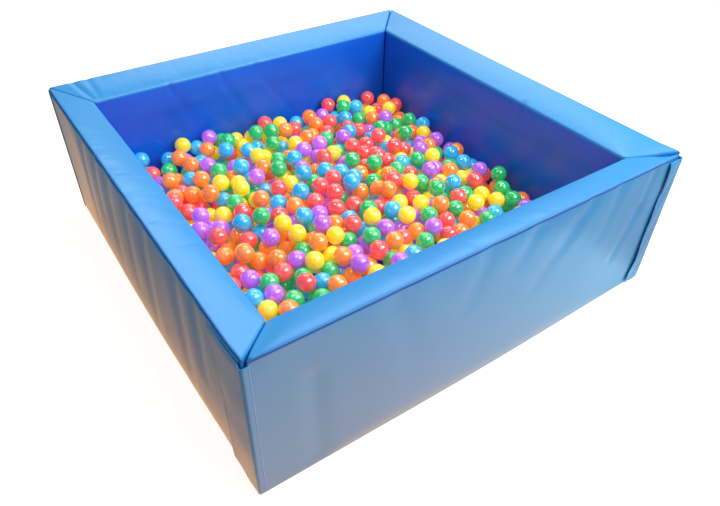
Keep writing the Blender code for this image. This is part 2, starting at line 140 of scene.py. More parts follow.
class Value:
    """A node's output, which can be used in sums."""

    def __init__(self, graph: "Graph", socket: bpy.types.NodeSocket) -> None:
        """Keep a socket and the graph that it is in."""
        self.graph = graph
        self.socket = socket

    def __add__(self, other: Term) -> "Value":
        """The sum."""
        return self.graph.math("ADD", self, other)

    def __sub__(self, other: Term) -> "Value":
        """The difference."""
        return self.graph.math("SUBTRACT", self, other)

    def __rsub__(self, other: Term) -> "Value":
        """What is left of another term."""
        return self.graph.math("SUBTRACT", other, self)

    def __mul__(self, other: Term) -> "Value":
        """The product."""
        return self.graph.math("MULTIPLY", self, other)

    __radd__ = __add__
    __rmul__ = __mul__


class Graph:
    """The nodes of a material or of the world."""

    def __init__(self, tree: bpy.types.NodeTree) -> None:
        """Empty a tree and keep it."""
        self.tree = tree
        tree.nodes.clear()

    def node(
        self, kind: str, settings: dict | None = None, inputs: dict | None = None, output: int | str = 0
    ) -> Value:
        """Add a node.

        Args:
            kind: the node's type.
            settings: its properties; stops is a ramp's list of places and grey levels.
            inputs: a value or a link for each of its sockets.
            output: which of its outputs to return.

        Returns:
            That output.
        """
        made = self.tree.nodes.new(kind)
        for key, setting in (settings or {}).items():
            if key == "stops":
                self._set_stops(made.color_ramp, setting)
            else:
                setattr(made, key, setting)
        for key, term in (inputs or {}).items():
            if isinstance(term, Value):
                self.tree.links.new(term.socket, made.inputs[key])
            else:
                made.inputs[key].default_value = term
        return Value(self, made.outputs[output] if made.outputs else None)

    def _set_stops(self, ramp: bpy.types.ColorRamp, stops: Sequence[Span]) -> None:
        """Give a ramp its stops.

        Args:
            ramp: the ramp.
            stops: a place and a grey level for each.
        """
        while len(ramp.elements) < len(stops):
            ramp.elements.new(1.0)
        for element, (place, level) in zip(ramp.elements, stops):
            element.position = place
            element.color = (level, level, level, 1.0)

    def math(self, operation: str, first: Term, second: Term = 0.0) -> Value:
        """A Math node."""
        return self.node("ShaderNodeMath", {"operation": operation}, {0: first, 1: second})

    def mix(self, factor: Term, first: Term, second: Term) -> Value:
        """A mix of two colours."""
        inputs = {0: factor, 6: opaque(first), 7: opaque(second)}
        return self.node("ShaderNodeMix", {"data_type": "RGBA"}, inputs, 2)

    def ramp(self, value: Value, *stops: Span) -> Value:
        """A value remapped through grey stops."""
        return self.node("ShaderNodeValToRGB", {"stops": stops}, {0: value})

    def place(self, scale: Place = (1.0, 1.0, 1.0), turn: Place = (0.0, 0.0, 0.0)) -> Value:
        """Object coordinates, stretched and turned."""
        at = self.node("ShaderNodeTexCoord", output="Object")
        return self.node("ShaderNodeMapping", inputs={"Vector": at, "Scale": scale, "Rotation": turn})

    def noise(self, at: Value, scale: float, detail: float = 2.0, roughness: float = 0.5) -> Value:
        """A noise from 0 to 1."""
        inputs = {"Vector": at, "Scale": scale, "Detail": detail, "Roughness": roughness}
        return self.node("ShaderNodeTexNoise", inputs=inputs)

    def waves(self, at: Value, scale: float, direction: str, distortion: float = 0.0) -> Value:
        """Parallel bands.

        Args:
            at: where the pattern is read.
            scale: how fine it is.
            direction: what the bands lie across.
            distortion: how much they waver.

        Returns:
            Their height, from 0 to 1.
        """
        settings = {"wave_type": "BANDS", "bands_direction": direction}
        inputs = {"Vector": at, "Scale": scale, "Distortion": distortion, "Detail": 1.0}
        return self.node("ShaderNodeTexWave", settings, inputs, "Fac")

    def attribute(self, name: str, output: str = "Fac") -> Value:
        """An attribute of the mesh."""
        return self.node("ShaderNodeAttribute", {"attribute_name": name}, output=output)

    def rays(self) -> tuple[Value, Value]:
        """Tell what kind of ray asks for the colour.

        Returns:
            1 for a ray from the camera, straight or through clear things, and 1 for a glossy ray.
        """
        kinds = ("Is Camera Ray", "Is Glossy Ray", "Is Transmission Ray")
        camera, glossy, clear = (self.node("ShaderNodeLightPath", output=kind) for kind in kinds)
        return self.math("MAXIMUM", camera, clear), glossy

    def bump(self, height: Value, depth: float, strength: float = 1.0, under: Value | None = None) -> Value:
        """A normal that shows a height.

        Args:
            height: the height, from 0 to 1.
            depth: what a height of 1 stands for.
            strength: how much of it shows.
            under: the normal that it lies over, or None.

        Returns:
            The normal.
        """
        inputs = {"Height": height, "Distance": depth, "Strength": strength}
        if under is not None:
            inputs["Normal"] = under
        return self.node("ShaderNodeBump", inputs=inputs)

    def surface(self, **inputs: Term) -> None:
        """Finish the material with a Principled shader.

        Args:
            inputs: a value or a link for each of its sockets, with _ for the spaces in a name.
        """
        named = {key.replace("_", " "): term for key, term in inputs.items()}
        for key, term in named.items():
            if key.endswith(("Color", "Tint")):
                named[key] = opaque(term)
        shader = self.node("ShaderNodeBsdfPrincipled", inputs=named)
        self.node("ShaderNodeOutputMaterial", inputs={"Surface": shader})


def opaque(term: Term) -> Term:
    """A colour with its alpha, and anything else as it is."""
    return (*term, 1.0) if isinstance(term, tuple) and len(term) == 3 else term


def new_material(name: str) -> tuple[bpy.types.Material, Graph]:
    """Add a material.

    Args:
        name: its name.

    Returns:
        The material and its empty graph.
    """
    made = bpy.data.materials.new(name)
    made.use_nodes = True
    return made, Graph(made.node_tree)


@dataclass(frozen=True)
class Vinyl:
    """PVC-coated cloth with a fine grain, slow waves in its gloss, a painted sheen on its outer and top panels,
    and painted shade in the groove under its top seam.
    """

    name: str
    color: Color = (0.003, 0.118, 0.67)
    deep: Color = (0.002, 0.095, 0.60)
    # painted sheen: a paler, cyan tone on the outer and top panels that stands in for the light they reflect
    faded: Color = (0.018, 0.250, 0.53)
    worn: Color = (0.08, 0.32, 0.85)
    # painted shade: the dark tone of the groove under the top seam
    groove: Color = (0.003, 0.036, 0.28)
    roughness: float = 0.34
    grain: float = 0.00012       # how deep the grain and the slow waves are
    wave: float = 0.0009
    scuffed: float = 0.35        # how much of the worn tone shows on a worn edge
    coat: float = 0.2

    def build(self) -> bpy.types.Material:
        """Build the finish.

        Returns:
            The material.
        """
        made, g = new_material(self.name)
        at = g.place()
        cloud = g.noise(at, scale=4.0, detail=3.0)
        scuffs = g.ramp(g.noise(at, scale=70.0, detail=6.0, roughness=0.7), (0.42, 0.0), (0.72, 1.0))
        wear = g.attribute("wear") * scuffs
        color = g.mix(g.ramp(cloud, (0.3, 0.0), (0.7, 1.0)), self.deep, self.color)
        # painted sheen: the outer and top panels are made paler and cyan, as if lit by their reflection
        color = g.mix(g.attribute("faded") * (0.85 + 0.3 * (cloud - 0.5)), color, self.faded)
        color = g.mix(wear * self.scuffed, color, self.worn)
        # painted shade: darkens the groove under the top seam; the same mask also roughens it and takes off its
        # coat
        seam = g.attribute("seam")
        color = g.mix(seam, color, self.groove)
        rough = self.roughness + 0.10 * (cloud - 0.5) + 0.12 * wear + 0.03 * scuffs + 0.45 * seam
        slow = g.noise(g.place(scale=(1.0, 1.0, 0.55)), scale=7.0, detail=2.0, roughness=0.45)
        threads = g.waves(at, 150.0, "Z", distortion=0.3) + g.waves(at, 150.0, "DIAGONAL", distortion=0.3)
        grain = g.noise(at, scale=620.0, detail=3.0, roughness=0.6) + 0.25 * threads
        normal = g.bump(grain, self.grain, strength=0.6, under=g.bump(slow, self.wave))
        g.surface(
            Base_Color=color, Roughness=rough, Normal=normal, Specular_IOR_Level=0.5,
            Coat_Weight=self.coat * (1.0 - seam), Coat_Roughness=0.22,
        )
        return made


@dataclass(frozen=True)
class BallPlastic:
    """Blown plastic: glossy, with a faint mould line, a vent pip and scratches."""

    name: str
    color: Color
    roughness: float = 0.07
    glow: float = 0.25           # painted glow: an emission in the ball's own colour that stands in for the light coming through the thin walls of the balls around
    dark: float = 0.90           # how far the tone of single balls varies
    pale: float = 1.06
    milk: float = 0.008          # white in the palest
    mark: float = 0.0004         # how deep the line, the pip and the ripples are

    def build(self) -> bpy.types.Material:
        """Build the finish.

        Returns:
            The material.
        """
        made, g = new_material(self.name)
        at = g.place()
        tone = g.attribute("tone")
        dark = tuple(self.dark * channel for channel in self.color)
        pale = tuple(min(1.0, self.pale * channel + self.milk) for channel in self.color)
        color = g.mix(tone, dark, pale)
        on_ball = g.attribute("on_ball", "Vector")
        height = g.node("ShaderNodeSeparateXYZ", inputs={0: on_ball}, output="Z")
        line = g.ramp(g.math("ABSOLUTE", height), (0.0, 1.0), (0.035, 0.0))
        pip = g.ramp(g.math("ABSOLUTE", height), (0.985, 0.0), (0.992, 1.0))
        scratches = g.ramp(g.noise(at, scale=340.0, detail=5.0, roughness=0.75), (0.5, 0.0), (0.8, 1.0))
        ripples = g.bump(g.noise(at, scale=45.0), self.mark)
        normal = g.bump(0.6 * line + pip, self.mark, strength=0.5, under=ripples)
        g.surface(
            Base_Color=color, Roughness=self.roughness + 0.10 * scratches + 0.05 * line, Normal=normal,
            Specular_IOR_Level=0.5, Coat_Weight=1.0, Coat_Roughness=0.03, Coat_IOR=1.8,
            Subsurface_Weight=0.30, Subsurface_Radius=(1.0, 0.8, 0.7), Subsurface_Scale=0.012,
            # painted glow: each ball gives off light of its own colour
            Emission_Color=color, Emission_Strength=self.glow,
        )
        return made


@dataclass(frozen=True)
class Foam:
    """Open-cell foam: pale, matt and full of fine pores."""

    name: str
    color: Color = (0.80, 0.79, 0.74)
    aging: Color = (0.97, 0.90, 0.72)              # what is left of each channel where the foam is stained
    pore: float = 0.5                              # painted shade in the holes: how dark they are beside the foam
    pore_depth: float = 0.0008

    def build(self) -> bpy.types.Material:
        """Build the finish.

        Returns:
            The material.
        """
        made, g = new_material(self.name)
        at = g.place()
        pores = g.node("ShaderNodeTexVoronoi", {"feature": "F1"}, {"Vector": at, "Scale": 700.0})
        cells = g.ramp(pores, (0.1, 0.0), (0.6, 1.0))
        stain = g.noise(at, scale=5.0, detail=3.0)
        aged = tuple(channel * share for channel, share in zip(self.color, self.aging))
        color = g.mix(stain, self.color, aged)
        # painted shade: the holes of the foam are darkened
        color = g.mix(0.3 * (1.0 - cells), color, tuple(self.pore * channel for channel in self.color))
        g.surface(Base_Color=color, Roughness=0.92, Normal=g.bump(cells, self.pore_depth, strength=0.8))
        return made


@dataclass(frozen=True)
class HookAndLoop:
    """Hook or loop tape: a dense pile on a woven band."""

    name: str
    color: Color
    pile: float                  # how fine the pile is
    shade: float = 0.5           # painted shade: how dark it is between the tufts
    pile_depth: float = 0.0006

    def build(self) -> bpy.types.Material:
        """Build the finish.

        Returns:
            The material.
        """
        made, g = new_material(self.name)
        at = g.place()
        fuzz = g.noise(at, self.pile, detail=4.0, roughness=0.7)
        rows = g.waves(at, 260.0, "Z", distortion=1.5)
        # painted shade: darker between the tufts
        color = g.mix(fuzz, tuple(self.shade * channel for channel in self.color), self.color)
        normal = g.bump(fuzz + 0.5 * rows, self.pile_depth)
        g.surface(Base_Color=color, Roughness=0.88 + 0.08 * fuzz, Normal=normal, Sheen_Weight=0.3)
        return made


@dataclass(frozen=True)
class ZipTape:
    """Woven zip tape with its moulded chain down the middle."""

    name: str
    color: Color = (0.018, 0.019, 0.024)
    dust: Color = (0.16, 0.15, 0.14)
    weave_depth: float = 0.0004

    def build(self) -> bpy.types.Material:
        """Build the finish.

        Returns:
            The material.
        """
        made, g = new_material(self.name)
        at = g.place()
        weave = g.waves(at, 190.0, "X") * g.waves(at, 190.0, "Y")
        dust = g.ramp(g.noise(at, scale=90.0, detail=5.0), (0.45, 0.0), (0.8, 1.0))
        color = g.mix(0.2 * dust, self.color, self.dust)
        normal = g.bump(weave, self.weave_depth)
        g.surface(Base_Color=color, Roughness=0.62 + 0.2 * weave, Normal=normal)
        return made


@dataclass(frozen=True)
class Metal:
    """Plated zinc, rubbed brighter on its high spots."""

    name: str
    color: Color = (0.55, 0.55, 0.57)
    rubbed: Color = (0.78, 0.78, 0.80)
    pitting: float = 0.0001

    def build(self) -> bpy.types.Material:
        """Build the finish.

        Returns:
            The material.
        """
        made, g = new_material(self.name)
        at = g.place()
        rub = g.ramp(g.noise(at, scale=240.0, detail=5.0, roughness=0.65), (0.35, 0.0), (0.75, 1.0))
        color = g.mix(rub, self.color, self.rubbed)
        normal = g.bump(g.noise(at, scale=900.0), self.pitting, strength=0.5)
        g.surface(Base_Color=color, Roughness=0.42 - 0.16 * rub, Metallic=1.0, Normal=normal)
        return made


@dataclass(frozen=True)
class Thread:
    """Bonded sewing thread."""

    name: str
    color: Color = (0.02, 0.13, 0.62)
    shade: float = 0.45          # painted shade: how dark it is between its strands
    twist_depth: float = 0.0002

    def build(self) -> bpy.types.Material:
        """Build the finish.

        Returns:
            The material.
        """
        made, g = new_material(self.name)
        at = g.place()
        twist = g.waves(at, 900.0, "DIAGONAL", distortion=0.4)
        # painted shade: darker between the strands of the twist
        color = g.mix(0.35 * twist, self.color, tuple(self.shade * channel for channel in self.color))
        g.surface(Base_Color=color, Roughness=0.5 + 0.12 * twist, Normal=g.bump(twist, self.twist_depth))
        return made


@dataclass(frozen=True)
class PaleFloor:
    """The pale floor, which the background fades into and which keeps the pit's shadow; beside the pit it gives
    glossy rays a painted reflection.
    """

    name: str
    color: Color = (0.46, 0.37, 0.27)
    marked: Color = (0.50, 0.38, 0.26)
    seen: float = 0.84                             # how bright the camera sees it
    warm: Color = (2.70, 1.32, 0.42)               # painted reflection: the colour that glossy rays see on the floor left of the pit
    cool: Color = (0.90, 1.55, 1.85)               # and right of it
    half: float = 0.9                              # half the pit's width
    fade: float = 0.075                            # how soon that painted reflection falls off beside the pit
    least: float = 0.03                            # what is left of it far off

    def build(self) -> bpy.types.Material:
        """Build the finish.

        Returns:
            The material.
        """
        made, g = new_material(self.name)
        marks = g.noise(g.place(), scale=3.0, detail=4.0)
        color = g.mix(0.1 * marks, self.color, self.marked)
        matt = g.node("ShaderNodeBsdfDiffuse", inputs={"Color": color})
        direct, glossy = g.rays()
        # painted reflection: beside the pit, glossy rays see the floor glow tan on the left and pale cyan on the
        # right
        across = g.node("ShaderNodeSeparateXYZ", inputs={0: g.place()}, output="X")
        beside = g.math("MAXIMUM", g.math("ABSOLUTE", across) - self.half, 0.0)
        fall = self.least + (1.0 - self.least) * g.math("EXPONENT", beside * (-1.0 / self.fade))
        tint = g.mix(g.ramp(across * 0.4 + 0.5, (0.3, 0.0), (0.85, 1.0)), self.warm, self.cool)
        glow = g.node(
            "ShaderNodeEmission",
            inputs={"Color": g.mix(glossy, (1.0, 1.0, 1.0), tint),
                    "Strength": self.seen * g.math("MAXIMUM", direct, fall * glossy)},
        )
        both = g.node("ShaderNodeAddShader", inputs={0: matt, 1: glow})
        g.node("ShaderNodeOutputMaterial", inputs={"Surface": both})
        return made


VINYL = Vinyl("wall_vinyl").build()
MAT_VINYL = Vinyl("mat_vinyl", roughness=0.44).build()
FOAM = Foam("foam").build()
HOOK_TAPE = HookAndLoop("hook_tape", (0.012, 0.05, 0.26), 1500.0).build()
LOOP_TAPE = HookAndLoop("loop_tape", (0.016, 0.07, 0.33), 700.0).build()
ZIP_TAPE = ZipTape("zip_tape").build()
SLIDER_METAL = Metal("zip_slider").build()
THREAD = Thread("thread").build()


# Mesh helpers


def coordinates(mesh: bpy.types.Mesh) -> np.ndarray:
    """Read a mesh's points.

    Args:
        mesh: the mesh.

    Returns:
        Its points, one row each.
    """
    flat = np.empty(len(mesh.vertices) * 3, np.float32)
    mesh.vertices.foreach_get("co", flat)
    return flat.reshape(-1, 3).astype(float)


def move_points(mesh: bpy.types.Mesh, points: np.ndarray) -> None:
    """Put the mesh's points at new places."""
    mesh.vertices.foreach_set("co", points.astype(np.float32).ravel())
    mesh.update()


def normals(mesh: bpy.types.Mesh) -> np.ndarray:
    """Read a mesh's normals.

    Args:
        mesh: the mesh.

    Returns:
        The normals at its points, one row each.
    """
    flat = np.empty(len(mesh.vertices) * 3, np.float32)
    mesh.vertex_normals.foreach_get("vector", flat)
    return flat.reshape(-1, 3).astype(float)


def new_object(name: str, bm: bmesh.types.BMesh, finish: bpy.types.Material) -> bpy.types.Object:
    """Make a smooth object of a bmesh, at the origin.

    Args:
        name: the piece's name.
        bm: its shape, which is freed.
        finish: its material.

    Returns:
        The object.
    """
    mesh = bpy.data.meshes.new(name)
    bm.to_mesh(mesh)
    bm.free()
    mesh.materials.append(finish)
    mesh.shade_smooth()
    made = bpy.data.objects.new(name, mesh)
    bpy.context.scene.collection.objects.link(made)
    return made


def store(mesh: bpy.types.Mesh, name: str, kind: str, values: np.ndarray) -> None:
    """Keep a value for each point as an attribute."""
    made = mesh.attributes.new(name, kind, "POINT")
    made.data.foreach_set("vector" if kind == "FLOAT_VECTOR" else "value", values.astype(np.float32).ravel())


def subdivide(piece: bpy.types.Object, levels: int = 1) -> None:
    """Smooth a piece with a Subdivision Surface.

    Args:
        piece: the piece.
        levels: how many times its faces are divided.
    """
    smooth = piece.modifiers.new("smooth", "SUBSURF")
    smooth.levels = levels
    smooth.render_levels = levels


def thicken(piece: bpy.types.Object, gauge: float) -> None:
    """Give a sheet its gauge, half on each side.

    Args:
        piece: the sheet.
        gauge: how thick it gets.
    """
    skin = piece.modifiers.new("gauge", "SOLIDIFY")
    skin.thickness = gauge
    skin.offset = 0


def runs_along(edge: bmesh.types.BMEdge, axis: int, least: float, share: float = 0.9) -> bool:
    """Whether an edge lies along an axis and is at least so long."""
    span = edge.verts[1].co - edge.verts[0].co
    return span.length > least and abs(span[axis]) > share * span.length


def rounded_box(low: Place, high: Place, edge: float, cuts: Sequence[int]) -> bmesh.types.BMesh:
    """Make a box with rounded edges, cut into a grid.

    Args:
        low, high: its corners.
        edge: how far the rounding reaches over each face.
        cuts: the cuts along X, Y and Z.

    Returns:
        The bmesh.
    """
    bm = bmesh.new()
    bmesh.ops.create_cube(bm, size=1)
    size = Vector(high) - Vector(low)
    bmesh.ops.scale(bm, vec=size, verts=bm.verts)
    bmesh.ops.translate(bm, vec=(Vector(low) + Vector(high)) / 2, verts=bm.verts)
    bmesh.ops.bevel(
        bm, geom=bm.edges[:], offset=edge, offset_type="OFFSET", segments=3, profile=0.5, affect="EDGES",
        clamp_overlap=True, material=-1,
    )
    for axis, count in enumerate(cuts):
        long = [e for e in bm.edges if runs_along(e, axis, 3 * edge)]
        bmesh.ops.subdivide_edges(bm, edges=long, cuts=count)
    return bm


def tube(name: str, points: Iterable[Vector], radius: float, finish: bpy.types.Material) -> bpy.types.Object:
    """Make a thin round ridge along a line.

    Args:
        name: the piece's name.
        points: the line.
        radius: the ridge's radius.
        finish: its material.

    Returns:
        The object, a mesh with closed ends.
    """
    line = bpy.data.curves.new(name, "CURVE")
    line.dimensions = "3D"
    line.bevel_depth = radius
    line.bevel_resolution = 1
    line.use_fill_caps = True
    places = list(points)
    spline = line.splines.new("POLY")
    spline.points.add(len(places) - 1)
    for point, place in zip(spline.points, places):
        point.co = (*place, 1.0)
    guide = bpy.data.objects.new(name + "_line", line)
    bpy.context.scene.collection.objects.link(guide)
    mesh = bpy.data.meshes.new_from_object(guide.evaluated_get(bpy.context.evaluated_depsgraph_get()))
    bpy.data.objects.remove(guide)
    bm = bmesh.new()
    bm.from_mesh(mesh)
    bpy.data.meshes.remove(mesh)
    bmesh.ops.remove_doubles(bm, verts=bm.verts, dist=SAME)
    return new_object(name, bm, finish)


def stitches(
    name: str, line: Sequence[Vector], pitch: float = 0.0065, length: float = 0.0045, radius: float = 0.0006
) -> bpy.types.Object:
    """Make a row of stitches along a line.

    Args:
        name: the piece's name.
        line: points that follow the surface.
        pitch: from one stitch to the next.
        length, radius: of a stitch.

    Returns:
        The object.
    """
    one = bmesh.new()
    bmesh.ops.create_uvsphere(one, u_segments=6, v_segments=4, radius=1)
    shape = bpy.data.meshes.new(name + "_one")
    one.to_mesh(shape)
    one.free()
    size = Matrix.Diagonal((radius, radius, length / 2, 1))
    bm = bmesh.new()
    gone = 0.0
    for start, end in zip(line, line[1:]):
        step = end - start
        while gone < step.length:
            spot = Matrix.Translation(start + step * (gone / step.length))
            stitch = shape.copy()
            stitch.transform(spot @ step.to_track_quat("Z", "Y").to_matrix().to_4x4() @ size)
            bm.from_mesh(stitch)
            bpy.data.meshes.remove(stitch)
            gone += pitch
        gone -= step.length
    bpy.data.meshes.remove(shape)
    return new_object(name, bm, THREAD)


# Folds and dents in padded cloth


@dataclass(frozen=True)
class Fold:
    """A crease in the cover along a line in its wall's frame, with soft shoulders beside it."""

    start: Place
    end: Place
    width: float
    depth: float                 # positive is out
    fading: float = 0.6          # how much weaker the fold is at its end
    shoulder: float = 0.35       # how high the shoulders stand beside it
    reach: float = 2.3           # and how far they reach, in widths

    def lift(self, points: np.ndarray) -> np.ndarray:
        """Work the fold out.

        Args:
            points: the cover's points, one row each.

        Returns:
            How far each point moves along its normal.
        """
        start, line = np.array(self.start), np.array(self.end) - np.array(self.start)
        along = np.clip((points - start) @ line / (line @ line), 0, 1)
        far = np.linalg.norm(points - start - along[:, None] * line, axis=1) / self.width
        crease = np.exp(-(far**2)) - self.shoulder * np.exp(-((far / self.reach) ** 2))
        return self.depth * (1 - self.fading * along) * crease


@dataclass(frozen=True)
class Dent:
    """A place where the cover is drawn another way."""

    centre: Place
    radius: float
    shift: Place

    def move(self, points: np.ndarray) -> np.ndarray:
        """How far each point moves."""
        far = np.linalg.norm(points - np.array(self.centre), axis=1) / self.radius
        return np.exp(-(far**2))[:, None] * np.array(self.shift)


class SeamPlace(Enum):
    """Which face the seam of the top panel lies on."""

    OUTER_FACE = "outer face"
    TOP_FACE = "top face"


def spread(share: np.ndarray, pull: float) -> np.ndarray:
    """Shares from -1 to 1, drawn towards both ends."""
    return (1 - pull) * share + pull * np.sin(share * math.pi / 2)


def smooth_step(value: np.ndarray, start: float, end: float) -> np.ndarray:
    """0 before start, 1 after end, and smooth between."""
    share = np.clip((value - start) / (end - start), 0, 1)
    return share * share * (3 - 2 * share)


@dataclass(frozen=True)
class Swelling:
    """How the foam blows a wall's cover out past its crown, and how far it may."""

    outer_room: float = 0.007
    other_room: float = 0.004                      # of the inner and top faces
    outer_span: Span = (0.18, 0.55)                # from a wall's end: where the room starts, and is full
    inner_span: Span = (0.02, 0.42)
    top_span: Span = (0.02, 0.2)
    ball_line: float = 0.36                        # the balls lie below it
    ball_margin: float = 0.08                      # over this height above it the inner room grows
    inward_share: float = 0.25                     # of its room, which a point may sink
    slide: float = 0.002                           # how far a point may move along the face
    pressure: float = 4.0
    slack: float = 0.0015                          # share of its size by which the cloth is cut larger
    frames: int = 20


@dataclass(frozen=True)
class TopSeam:
    """Where the seam of a wall's top panel and its stitches run, on the outer or the top face."""

    drop: float = 0.016                            # from the top down to a seam on the outer face
    row_drop: float = 0.005                        # and from that seam down to its stitches
    inset: float = 0.009                           # from the outer face to a seam on the top face
    row_inset: float = 0.015                       # and to its stitches
    radius: float = 0.0032
    end: float = 0.022                             # from the wall's end to the seam's
    steps: int = 140
    # painted shade in the groove under a seam on the outer face: how dark it is at most, and how fast it falls off
    groove_level: float = 0.92
    groove_falloff: float = 1.6


@dataclass(frozen=True)
class FlapForm:
    """How a closing flap is cut, sewn and hangs."""

    gauge: float = 0.0014
    cell: float = 0.006                            # how wide a square of its grid is
    more_columns: int = 14                         # columns for the hem and the bend
    rows: int = 84
    wear: float = 0.5
    bend: float = 0.007                            # its radius round the corner
    blend: float = 0.0057                          # how far the bending reaches on each side of the hinge
    lifted: float = 0.0045                         # how far its free edge stands off
    lift_waves: Span = (23.0, 9.4)                 # a quick and a slow wave, in radians for a metre of height
    slack: float = 0.0012                          # how far it bulges between the corner and its free edge
    slack_waves: Span = (31.0, 5.0)                # radians for a metre of height, and over its width
    lean: float = 0.0040                           # how far its top leans in
    lean_start: float = 0.576                      # the height where that starts
    lean_rise: float = 0.018                       # over which it grows to its full measure
    lean_reach: float = 0.02                       # and how far from the corner it is full
    row_inset: float = 0.006                       # from the free edge to its stitches
    row_ends: float = 0.008                        # from the top and the foot to both rows
    row_steps: int = 90
    hem_inset: float = 0.004
    proud: float = 0.0009                          # how far the stitches stand out

    def point(self, along: float, level: float, hinge: Vector, hem_end: float, wall: "PaddedWall") -> Vector:
        """Find a point of the flap.

        Args:
            along: the share of its width, from the hem's end to the free edge.
            level: the height.
            hinge: a point of its hinge line, in the front wall's frame.
            hem_end: where the hem starts along its own wall.
            wall: the wall that it is sewn to.

        Returns:
            The point, in the front wall's frame.
        """
        arc = self.bend * math.pi / 2
        hem = hem_end - hinge.x - self.bend
        far = FRONT + wall.reach(level) - hinge.y - self.bend
        gone = along * (hem + arc + far)
        if gone < hem:
            return Vector((hem_end - gone, hinge.y, level))
        if gone < hem + arc:
            angle = (gone - hem) / self.bend
            centre = Vector((hinge.x + self.bend, hinge.y + self.bend, level))
            return centre + self.bend * Vector((-math.sin(angle), -math.cos(angle), 0))
        rest = gone - hem - arc
        share = rest / far
        turns = wall.side.value
        quick, slow = self.lift_waves
        up, out = self.slack_waves
        wave = 0.5 + 0.5 * math.sin(level * quick + turns) * math.cos(level * slow + 2 * turns)
        lifted = self.lifted * wave * share**3
        ripple = math.sin(level * up + out * share)
        slack = self.slack * math.sin(math.pi * share) * (1 + ripple)
        towards_top = max(0.0, (level - self.lean_start) / self.lean_rise)
        lean = self.lean * towards_top * math.sin(math.pi / 2 * min(1.0, rest / self.lean_reach))
        return Vector((hinge.x - lifted - slack + lean, hinge.y + self.bend + rest, level))


